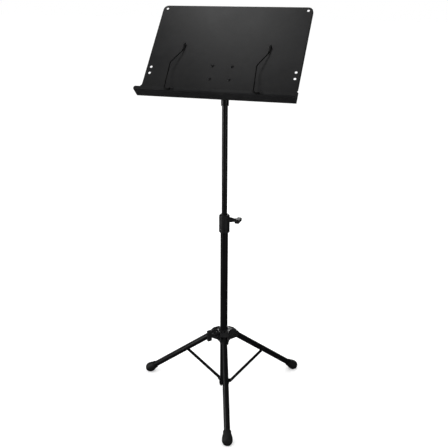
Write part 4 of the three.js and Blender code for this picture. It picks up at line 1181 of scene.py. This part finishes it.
# ---- Tilt head ----
@dataclass
class TiltHead:
    """The socket on top of the pole, with its tongue, tilt bolt, T knob and thumbscrew."""

    pole: Place
    hinge: Place
    washer_sheet: float = 1.2
    bolt_radius: float = 3.0
    bolt_head: float = 6.0
    bolt_head_height: float = 4.0
    thumb_shank: float = 2.5
    thumb_clear: float = 8.0
    tongue: float = 12.0
    tongue_radius: float = 11.0
    shoulder_below: float = 24.0
    socket_bore: float = 10.6
    socket_radius: float = 12.0
    liner_inner: float = 9.15
    liner_outer: float = 10.3
    washer: float = 10.0
    ear_outer: float = 9.8
    thumb_up: float = 20.0

    def socket(self) -> Shells:
        """The socket, turned, and the tongue, a plate whose top is a half circle about the hinge.

        Returns:
            The socket's surfaces.
        """
        shells = Shells()
        bottom, hinge = heights("tilt_head")[0], self.hinge_height
        shoulder = hinge - self.shoulder_below
        r, bore, ceiling = self.socket_radius, self.socket_bore, heights("upper_tube_cap")[1] + GAP
        groove = [(r, bottom + 4), (r - 0.35, bottom + 4.4), (r - 0.35, bottom + 5.6), (r, bottom + 6)]
        shells.lathe([(0, ceiling), (bore, ceiling), (bore, bottom), (r - 0.1, bottom), *groove,
                      (r, shoulder - 3), (r - 3, shoulder), (0, shoulder)], LARGE_ROUND, 0.4)
        t = self.tongue_radius
        outline = np.vstack([[[-t, shoulder - 2], [t, shoulder - 2]], arc((0, hinge), t, 0, 180, 33)])
        shells.prism(outline, -self.tongue / 2, self.tongue / 2, 0.8, order=(2, 0, 1))
        height = bottom + self.thumb_up
        pad = np.array([0.0, self.socket_radius - 1.5, height])
        profile = [(0, 0), (6, 0), (6, 1.6), (5, 2.4), (0, 2.4)]
        shells.rod_along(pad, pad + [0, 1, 0], profile, SMALL_ROUND, 0.4)
        return shells

    @property
    def hinge_height(self) -> float:
        """The tilt axis above the floor, in millimetres."""
        return self.hinge.origin[2] / MM

    def bolt(self) -> Shells:
        """The bolt: a hexagonal head with a turned-off crown, and a plain shank.

        Returns:
            The bolt's surfaces.
        """
        shells = Shells()
        end = self.ear_outer + GAP
        hexagon = arc((0, 0), self.bolt_head, 30, 330, 6)
        shells.prism(soft_corners(hexagon, 0.5, 3), -end - self.bolt_head_height, -end, 0.5)
        shells.shank(self.bolt_radius, -end - 1, end + SCREW_REACH)
        return shells

    def washers(self) -> Shells:
        """Two flat washers between the tongue and the ears.

        Returns:
            The washers' surfaces.
        """
        shells = Shells()
        near = self.tongue / 2 + GAP
        far = near + self.washer_sheet
        for low, high in ((near, far), (-far, -near)):
            shells.pipe(SCREW_HOLE, self.washer, low, high, 0.25)
        return shells

    def thumbscrew(self) -> Shells:
        """The thumbscrew: a plain shank and a fluted head.

        Returns:
            The thumbscrew's surfaces.
        """
        shells = Shells()
        tip, head = self.socket_bore, self.socket_radius + self.thumb_clear
        shells.shank(self.thumb_shank, tip, head + 1)
        profile = [(0, head), (5.5, head), (8.2, head + 1.2), (9, head + 2), (9, head + 8.6),
                   (7.6, head + 10), (3, head + 9.4), (0, head + 9.4)]
        shells.lathe(profile, 96, 0.6, flutes=16, flute_depth=0.8)
        return shells

    def build(self, paints: Paints) -> None:
        """Makes and dresses the head's pieces.

        Args:
            paints: the finishes.
        """
        paints.piece(self.socket().mesh("head_socket", self.pole), Look.STEEL, "head", "tilt_head")
        low, high = heights("socket_liner")
        liner = Shells()
        liner.pipe(self.liner_inner, self.liner_outer, low - SLACK, high, 0.3)
        paints.piece(liner.mesh("head_liner", self.pole), Look.NYLON, "liner", "socket_liner")
        paints.piece(self.bolt().mesh("head_bolt", self.hinge), Look.ZINC, "head", "tilt_bolt")
        paints.piece(self.washers().mesh("head_washers", self.hinge), Look.NYLON, "head",
                     "tilt_washer_left", "tilt_washer_right")
        TeeKnob(self.hinge.at(z=self.ear_outer + GAP)).build(paints, "tilt_tee_knob", "tilt_knob")
        back = self.pole.at(z=heights("tilt_head")[0] + self.thumb_up).reframed((0, 1, 0), (0, 0, 1))
        paints.piece(self.thumbscrew().mesh("fluted_thumbscrew", back), Look.PLASTIC, "thumbscrew",
                     "socket_thumbscrew")


# ---- Pole ----
@dataclass
class Pole:
    """The two tubes, their plugs, and the clamp that holds the height."""

    place: Place
    upper_radius: float = 9.0
    lower_radius: float = 12.5
    wall: float = 1.2
    collar_bore: float = 12.8
    collar_radius: float = 17.3
    collar_mouth: float = 9.5
    boss_radius: float = 8.0
    boss_out: float = 27.3
    screw_radius: float = 3.0

    def tube(self, node: str, radius: float) -> Shells:
        """A tube as long as its CAD node, with softened ends.

        Args:
            node: the CAD node whose height the tube has.
            radius: its outer radius.

        Returns:
            The tube's surfaces.
        """
        shells = Shells()
        low, high = heights(node)
        shells.pipe(radius - self.wall, radius, low, high)
        return shells

    def bottom_plug(self) -> Shells:
        """The plug under the lower tube: a stem inside and a flange with a stepped base.

        Returns:
            The plug's surfaces.
        """
        shells = Shells()
        low, high = heights("tube_bottom_plug")
        rim = heights("lower_tube")[0] - GAP
        stem, r = self.lower_radius - self.wall - SLACK, self.lower_radius
        shells.lathe([(0, high), (stem, high), (stem, rim), (r, rim), (r, low + 2.2), (r - 1.5, low),
                      (6, low), (5, low + 1.2), (0, low + 1.2)], LARGE_ROUND, 0.5)
        return shells

    def collar(self) -> Shells:
        """The clamp's collar: a turned sleeve with two shallow grooves, a roof and a boss.

        Returns:
            The collar's surfaces.
        """
        shells = Shells()
        low, high = heights("clamp_collar")
        r, bore, mouth = self.collar_radius, self.collar_bore, self.collar_mouth
        profile = [(bore, low), (r - 1.2, low), (r, low + 1.2)]
        for groove in (low + 9, low + 14, high - 13):
            profile += [(r, groove - 1), (r - 0.8, groove - 0.3), (r - 0.8, groove + 0.3), (r, groove + 1)]
        profile += [(r, high - 4), (r - 3.2, high), (mouth, high), (mouth, high - 3), (bore, high - 3)]
        shells.lathe(profile, LARGE_ROUND, 0.6)
        start = np.array([self.collar_bore + 2, 0, self.screw_height])
        reach, boss = self.boss_out - start[0], self.boss_radius
        profile = [(SCREW_HOLE, 0), (boss + 1.4, 0), (boss + 0.2, 5), (boss - 0.4, reach),
                   (SCREW_HOLE, reach)]
        shells.rod_along(start, start + [1, 0, 0], profile, LARGE_ROUND, 0.7)
        return shells

    @property
    def screw_height(self) -> float:
        """The clamp screw's axis above the floor, in millimetres."""
        return joint_point("clamp_knob_turn")[2] / MM

    def build(self, paints: Paints) -> None:
        """Makes and dresses the pole's pieces.

        Args:
            paints: the finishes.
        """
        place = self.place
        paints.piece(self.tube("upper_tube", self.upper_radius).mesh("pole_upper_tube", place), Look.STEEL,
                     "upper_pole", "upper_tube")
        paints.piece(self.tube("lower_tube", self.lower_radius).mesh("pole_lower_tube", place), Look.STEEL,
                     "base", "lower_tube")
        paints.piece(self.bottom_plug().mesh("pole_bottom_plug", place), Look.NYLON, "base",
                     "tube_bottom_plug")
        paints.piece(self.collar().mesh("height_collar", place), Look.PLASTIC, "base", "clamp_collar")
        out = place.at(z=self.screw_height).reframed((1, 0, 0), (0, 1, 0))
        screw = Shells()
        screw.shank(self.screw_radius, self.collar_bore, self.boss_out + SCREW_REACH)
        paints.piece(screw.mesh("height_screw", out), Look.ZINC, "clamp_knob_set", "clamp_screw")
        TeeKnob(out.at(z=self.boss_out + GAP)).build(paints, "height_tee_knob", "clamp_knob")
        for node in ("upper_tube_cap", "upper_tube_guide", "clamp_bush"):
            paints.node(node, Look.NYLON)


# ---- Tripod ----
def leg_plane(name: str) -> Place:
    """The frame under the pole with its first axis out towards a leg and its third up.

    Args:
        name: the leg's name.

    Returns:
        The upright frame at the pole's foot.
    """
    pole = pole_place()
    tangent = joint_axis(f"leg_{name}_fold")
    up = np.array([0.0, 0.0, 1.0])
    return Place(pole.origin, np.array([np.cross(tangent, up), tangent, up]))


@dataclass
class Hub:
    """The sliding hub with three forks, its bush, and the screw that locks it."""

    names: tuple[str, ...]
    bush_inner: float = 12.65
    bush_outer: float = 15.0
    bore: float = 15.3
    radius: float = 24.0
    pivot_out: float = 40.0
    fork_end: float = 13.6
    shoulder_out: float = 29.0
    half_slot: float = 10.4
    half_width: float = 13.9
    roof: float = 8.0
    boss_radius: float = 8.0
    boss_out: float = 38.0
    screw_radius: float = 3.0

    def fork(self, shells: Shells, plane: Place, pole: Place) -> None:
        """Adds one fork: two cheeks rounded about the leg's pivot, a roof between, and a web.

        Args:
            shells: what it is added to, in the pole's frame.
            plane: the leg's frame.
            pole: the pole's frame.
        """
        low, high = heights("hub")
        pivot = joint_point(f"leg_{self.names[0]}_fold")[2] / MM
        nose = arc((self.pivot_out, pivot), self.fork_end, -70, 75, 33)
        start = np.array([[self.bore + 2, low + 0.4], [self.radius + 4, low + 1]])
        end = np.array([[self.shoulder_out, high], [self.bore + 2, high]])
        cheek = np.vstack([start, nose, end])
        under = high - self.roof
        top = np.array([[self.bore + 2, under], [self.pivot_out + 5, under],
                        [self.pivot_out + 1, under + 1.5], *end])
        web = np.array([[self.bore + 2, low + 1], [self.radius + 1, low + 1], [self.radius + 1, high - 1],
                        [self.bore + 2, high - 1]])
        local = Shells()
        for side in (-1, 1):
            faces = sorted((side * self.half_slot, side * self.half_width))
            local.prism(cheek, faces[0], faces[1], 0.9, order=(0, 2, 1))
        local.prism(top, -self.half_width + 1, self.half_width - 1, 0.9, order=(0, 2, 1))
        local.prism(web, -self.half_width + 1, self.half_width - 1, 0.9, order=(0, 2, 1))
        turn = plane.axes @ pole.axes.T
        shells.absorb(local, turn)

    def shells(self, pole: Place) -> Shells:
        """The hub: a turned body, a fork for each leg, and the boss of the lock screw.

        Args:
            pole: the pole's frame.

        Returns:
            The hub's surfaces.
        """
        shells = Shells()
        low, high = heights("hub")
        r = self.radius
        shells.lathe([(self.bore, low), (r - 3, low), (r, low + 4), (r, high - 2.4), (r - 2, high),
                      (r - 4.5, high), (r - 5.2, high - 0.8), (self.bore + 1.6, high - 0.8),
                      (self.bore, high)], LARGE_ROUND, 0.6)
        for name in self.names:
            self.fork(shells, leg_plane(name), pole)
        axis = joint_axis("hub_knob_turn")
        start = axis * (self.bore + 2) + [0, 0, self.screw_height]
        reach, boss = self.boss_out - self.bore - 2, self.boss_radius
        profile = [(SCREW_HOLE, 0), (boss + 1.2, 0), (boss, 9), (boss - 0.4, reach), (SCREW_HOLE, reach)]
        shells.rod_along(start, start + axis, profile, LARGE_ROUND, 0.7)
        return shells

    @property
    def screw_height(self) -> float:
        """The lock screw's axis above the floor, in millimetres."""
        return joint_point("hub_knob_turn")[2] / MM

    def build(self, paints: Paints) -> None:
        """Makes and dresses the hub's pieces.

        Args:
            paints: the finishes.
        """
        pole = pole_place()
        paints.piece(self.shells(pole).mesh("hub_casting", pole), Look.HUB, "hub_set", "hub")
        low, high = heights("hub_bush")
        bush = Shells()
        bush.pipe(self.bush_inner, self.bush_outer, low, high, 0.6)
        paints.piece(bush.mesh("hub_sleeve", pole), Look.NYLON, "hub_set", "hub_bush")
        out = pole.at(z=self.screw_height).reframed(joint_axis("hub_knob_turn"), (0, 0, 1))
        screw = Shells()
        screw.shank(self.screw_radius, self.bore, self.boss_out + SCREW_REACH)
        paints.piece(screw.mesh("hub_lock_screw", out), Look.ZINC, "hub_knob_set", "hub_screw")
        TeeKnob(out.at(z=self.boss_out + GAP)).build(paints, "hub_tee_knob", "hub_knob")


@dataclass
class Leg:
    """A leg tube with its rubber foot, its rivets, and the brace to the collar."""

    name: str
    radius: float = 10.0
    wall: float = 1.2
    length: float = 334.0
    head: float = 10.0
    foot_radius: float = 17.0
    foot_stretch: float = 1.9
    neck_radius: float = 13.2
    sleeve: float = 30.0
    sole: float = 6.0
    fork_half: float = 13.9
    brace_out: float = 148.0
    brace_near: float = 10.6
    brace_far: float = 12.6
    brace_width: float = 12.0
    pivot_pin: tuple[float, float, float] = (3.0, 5.5, 2.4)
    brace_pin: tuple[float, float, float] = (2.0, 4.0, 1.8)
    collar_out: float = 20.0
    collar_up: float = 41.0

    @property
    def plane(self) -> Place:
        """The leg's upright frame."""
        return leg_plane(self.name)

    @property
    def place(self) -> Place:
        """The leg's own frame: from its pivot, with the third axis down along the tube.

        Returns:
            The frame at the leg's pivot.
        """
        pivot, rivet = joint_point(f"leg_{self.name}_fold"), joint_point(f"brace_{self.name}_fold")
        along = (rivet - pivot) / np.linalg.norm(rivet - pivot)
        tangent = joint_axis(f"leg_{self.name}_fold")
        return Place(pivot, np.array([np.cross(tangent, along), tangent, along]))

    def tube(self) -> Shells:
        """The tube, with softened ends.

        Returns:
            The tube's surfaces.
        """
        shells = Shells()
        shells.pipe(self.radius - self.wall, self.radius, -self.head, self.length - self.sole)
        return shells

    def foot(self) -> Shells:
        """The boot: a ribbed sleeve that swells into a ball, pressed flat where it meets the floor.

        The ball is (R cos a, R sin a), stretched on the leg's side until it meets the sleeve.
        Points that would lie below the floor are moved straight up to it, which makes the sole.

        Returns:
            The boot's surfaces.
        """
        r, neck, bore, start = self.foot_radius, self.neck_radius, self.radius + 0.15, -self.sleeve
        ribs: list[tuple[float, float]] = [(bore, start), (neck - 0.9, start), (neck - 0.2, start + 1.2)]
        for rib in (3.5, 6.5):
            ribs += [(neck, start + rib - 1.1), (neck - 0.6, start + rib), (neck, start + rib + 1.1)]
        ball = arc((0, 0), r, -math.degrees(math.acos(neck / r)), 90, 24)
        ball[ball[:, 1] < 0, 1] *= self.foot_stretch
        ball[-1, 0] = 0.0
        inside = [(0.0, -self.sole + GAP), (bore, -self.sole + GAP)]
        shells = FloorShells(self.place)
        axis = Place(np.array([0.0, 0.0, self.length]), np.eye(3))
        shells.lathe([*ribs, *ball.tolist(), *inside], 72, 0.7, axis=axis)
        return shells

    def cross_rivet(self, shank: float, head: float, rise: float, low: float, high: float,
                    z: float) -> Shells:
        """A rivet across the leg at distance z down it, domed at both ends.

        Args:
            shank: the shank's radius.
            head: the heads' radius.
            rise: the heads' height.
            low: the face under one head.
            high: the face under the other.
            z: the distance down the leg.

        Returns:
            The rivet's surfaces.
        """
        shells = Shells()
        here = Place(np.array([0.0, 0.0, z]), np.eye(3)).reframed((0, 1, 0), (1, 0, 0))
        angle = np.linspace(0, QUARTER, 8)
        top = np.stack([head * np.cos(angle), high + rise * np.sin(angle)], axis=1)
        bottom = np.stack([head * np.sin(angle), low - rise * np.cos(angle)], axis=1)
        top[-1, 0] = bottom[0, 0] = 0.0
        shells.lathe(np.vstack([bottom, [[shank, low], [shank, high]], top]), SMALL_ROUND, 0.15, axis=here)
        return shells

    def brace(self) -> Shells:
        """The brace: a flat bar with half-round ends, from the collar's ear to the leg.

        Returns:
            The brace's surfaces.
        """
        plane = self.plane
        upper = (joint_point(f"brace_{self.name}_fold") - plane.origin) @ plane.axes.T / MM
        low, high = np.array([self.collar_out, self.collar_up]), upper[[0, 2]]
        length = np.linalg.norm(high - low)
        along = (high - low) / length
        bar = stadium(length + self.brace_width, self.brace_width, 15)
        outline = (low + high) / 2 + bar[:, :1] * along + bar[:, 1:] * np.array([-along[1], along[0]])
        shells = Shells()
        shells.prism(outline, -self.brace_far, -self.brace_near, 0.35, order=(0, 2, 1))
        return shells

    def collar_rivet(self) -> Shells:
        """The rivet's head that holds the brace to the collar's ear.

        Returns:
            The rivet's surfaces.
        """
        shells = Shells()
        start = np.array([self.collar_out, -self.brace_near - SLACK, self.collar_up])
        face = self.brace_far - self.brace_near + 2 * SLACK
        shank, head, rise = self.brace_pin
        profile = [(0, 0), (shank, 0), (shank, face), (head, face), (0.85 * head, face + rise - 0.7),
                   (head / 2, face + rise - 0.1), (0, face + rise)]
        shells.rod_along(start, start - [0, 1, 0], profile, SMALL_ROUND, 0.3)
        return shells

    def build(self, paints: Paints) -> None:
        """Makes and dresses the leg's pieces.

        Args:
            paints: the finishes.
        """
        name, place, leg, arm = self.name, self.place, f"leg_{self.name}", f"brace_arm_{self.name}"
        paints.piece(self.tube().mesh(f"leg_steel_{name}", place), Look.STEEL, leg, f"leg_tube_{name}")
        paints.piece(self.foot().mesh(f"foot_boot_{name}", place), Look.RUBBER, leg, f"rubber_foot_{name}")
        reach = self.fork_half + SLACK
        pivot = self.cross_rivet(*self.pivot_pin, -reach, reach, 0.0)
        paints.piece(pivot.mesh(f"leg_pivot_pin_{name}", place), Look.RIVET, leg, f"leg_pivot_{name}")
        upper = self.cross_rivet(*self.brace_pin, -self.brace_far - SLACK, self.radius + 0.1, self.brace_out)
        paints.piece(upper.mesh(f"brace_top_pin_{name}", place), Look.RIVET, leg, f"brace_leg_rivet_{name}")
        paints.piece(self.brace().mesh(f"brace_bar_{name}", self.plane), Look.STEEL, arm, f"brace_{name}")
        paints.piece(self.collar_rivet().mesh(f"brace_low_pin_{name}", self.plane), Look.RIVET, arm,
                     f"brace_collar_rivet_{name}")


class FloorShells(Shells):
    """Shells whose points never go below the floor."""

    def __init__(self, place: Place) -> None:
        """Keeps the frame that the shells are worked out in."""
        super().__init__()
        self._place = place

    def _keep(self, points: Points) -> int:
        """Moves each point that is under the floor straight up to it, then stores it.

        Args:
            points: the points to store, in local millimetres.

        Returns:
            The index of the first of them.
        """
        place = self._place
        flat = np.asarray(points, float).reshape(-1, 3)
        world = place.put(flat)
        lift = np.maximum(-world[:, 2], 0.0)
        return super()._keep(flat + np.outer(lift / MM, place.axes[:, 2]))


@dataclass
class BraceCollar:
    """The collar fixed to the pole's lower end, with an ear for each brace."""

    names: tuple[str, ...]
    bore: float = 12.65
    wall: float = 2.35
    pivot_out: float = 20.0
    pivot_up: float = 41.0
    ear_end: float = 6.5
    ear_face: float = 10.3
    ear_thick: float = 4.0
    ear_root: float = 9.0

    def build(self, paints: Paints) -> None:
        """Makes and dresses the collar: a ring and three rounded ears.

        Args:
            paints: the finishes.
        """
        pole = pole_place()
        shells = Shells()
        low, high = heights("brace_collar")
        shells.pipe(self.bore, self.bore + self.wall, low, high, 0.6)
        nose = arc((self.pivot_out, self.pivot_up), self.ear_end, -90, 90, 17)
        below, above = self.pivot_up - self.ear_end, self.pivot_up + self.ear_end
        outline = np.vstack([nose, [[self.ear_root, above], [self.ear_root, below]]])
        for name in self.names:
            ear = Shells()
            ear.prism(outline, -self.ear_face, self.ear_thick - self.ear_face, 0.5, order=(0, 2, 1))
            shells.absorb(ear, leg_plane(name).axes @ pole.axes.T)
        paints.piece(shells.mesh("brace_ring", pole), Look.STEEL, "base", "brace_collar")


# ---- Studio ----
@dataclass(frozen=True)
class Lamp:
    """A soft rectangular light that faces a target, both in metres from the pole's foot."""

    name: str
    spot: tuple[float, float, float]
    target: tuple[float, float, float]
    size: tuple[float, float]
    power: float


@dataclass
class Studio:
    """The camera, the pale floor and the soft lights."""

    pole: Place
    camera_at: tuple[float, float, float] = (0.6578, -2.0729, 1.3428)
    forward: tuple[float, float, float] = (-0.28738, 0.90396, -0.31664)
    roll: float = 0.288
    lens: float = 57.03
    floor_half: float = 30.0
    floor_tone: float = 0.93
    floor_glow: float = 0.14
    lamps: tuple[Lamp, ...] = (
        Lamp("top_soft", (-0.62, 0.0, 3.2), (0.1, 0.0, 1.2), (0.6, 0.6), 6.5),
        Lamp("left_strip", (-2.2, -1.4, 1.1), (0.0, 0.0, 0.7), (0.25, 2.2), 40.0),
        Lamp("right_strip", (2.2, -1.6, 1.1), (0.0, 0.0, 0.6), (0.25, 2.0), 12.0),
        Lamp("back_strip", (0.0, 2.4, 1.5), (0.0, 0.0, 0.3), (1.6, 0.3), 14.0),
    )

    def camera(self) -> None:
        """Sets the camera: it looks along forward, with its right turned by the roll."""
        forward = Vector(self.forward).normalized()
        right = forward.cross(Vector((0, 0, 1))).normalized()
        up = right.cross(forward)
        turn = math.radians(self.roll)
        level = right * math.cos(turn) + up * math.sin(turn)
        rise = level.cross(forward)
        data = bpy.data.cameras.new("camera")
        data.lens, data.sensor_width, data.clip_end = self.lens, 36.0, 200.0
        made = bpy.data.objects.new("camera", data)
        bpy.context.scene.collection.objects.link(made)
        spot = self.pole.origin + np.array(self.camera_at)
        columns = Matrix((level, rise, -forward)).transposed().to_4x4()
        made.matrix_world = Matrix.Translation(Vector(spot)) @ columns
        bpy.context.scene.camera = made

    def floor(self) -> None:
        """Lays a plain pale floor."""
        half = self.floor_half
        data = bpy.data.meshes.new("floor")
        corners = [(-half, -half, 0), (half, -half, 0), (half, half, 0), (-half, half, 0)]
        data.from_pydata(corners, [], [(0, 1, 2, 3)])
        made = bpy.data.objects.new("floor", data)
        bpy.context.scene.collection.objects.link(made)
        paint = bpy.data.materials.new("pale_floor")
        paint.use_nodes = True
        shader = paint.node_tree.nodes["Principled BSDF"]
        shader.inputs["Base Color"].default_value = (*[self.floor_tone] * 3, 1.0)
        shader.inputs["Roughness"].default_value = 0.9
        shader.inputs["Specular IOR Level"].default_value = 0.1
        shader.inputs["Emission Color"].default_value = (1.0, 1.0, 1.0, 1.0)
        shader.inputs["Emission Strength"].default_value = self.floor_glow
        data.materials.append(paint)
        made.visible_glossy = False

    def light(self, lamp: Lamp) -> None:
        """Adds a lamp, which faces its target.

        Args:
            lamp: the lamp's name, place, target, size and power.
        """
        data = bpy.data.lights.new(lamp.name, "AREA")
        data.shape, data.energy = "RECTANGLE", lamp.power
        data.size, data.size_y = lamp.size
        made = bpy.data.objects.new(lamp.name, data)
        bpy.context.scene.collection.objects.link(made)
        foot = Vector(self.pole.origin)
        here, there = foot + Vector(lamp.spot), foot + Vector(lamp.target)
        made.location = here
        made.rotation_mode = "QUATERNION"
        made.rotation_quaternion = (there - here).to_track_quat("-Z", "Y")

    def build(self) -> None:
        """Sets up the whole studio."""
        self.camera()
        self.floor()
        world = bpy.data.worlds.new("studio")
        world.use_nodes = True
        background = world.node_tree.nodes["Background"]
        background.inputs[0].default_value = (1.0, 1.0, 1.0, 1.0)
        background.inputs[1].default_value = 1.0
        world.cycles_visibility.glossy = False
        bpy.context.scene.world = world
        bpy.context.scene.view_settings.view_transform = "Standard"
        for lamp in self.lamps:
            self.light(lamp)


def main() -> None:
    """Builds the stand from the desk down, then the studio."""
    logging.basicConfig(level=logging.INFO, format="%(name)s: %(message)s")
    paints = Paints()
    pole = pole_place()
    hinge = Place(joint_point("desk_tilt"), pole.axes).reframed((1, 0, 0), (0, 1, 0))
    sine, cosine = math.sin(DESK_TILT), math.cos(DESK_TILT)
    axes = np.array([[1.0, 0.0, 0.0], [0.0, sine, cosine], [0.0, -cosine, sine]])
    board = Place(joint_point("desk_tilt"), axes).at(y=-Desk.hinge_up, z=Desk.hinge_behind)
    Studio(pole).build()
    Desk(board).build(paints)
    for name, centre in HOLDER_CENTRES.items():
        PageHolder(board, name, centre).build(paints)
    TiltHead(pole, hinge).build(paints)
    Pole(pole).build(paints)
    Hub(LEG_NAMES).build(paints)
    for name in LEG_NAMES:
        Leg(name).build(paints)
    BraceCollar(LEG_NAMES).build(paints)


if __name__ == "__main__":
    main()
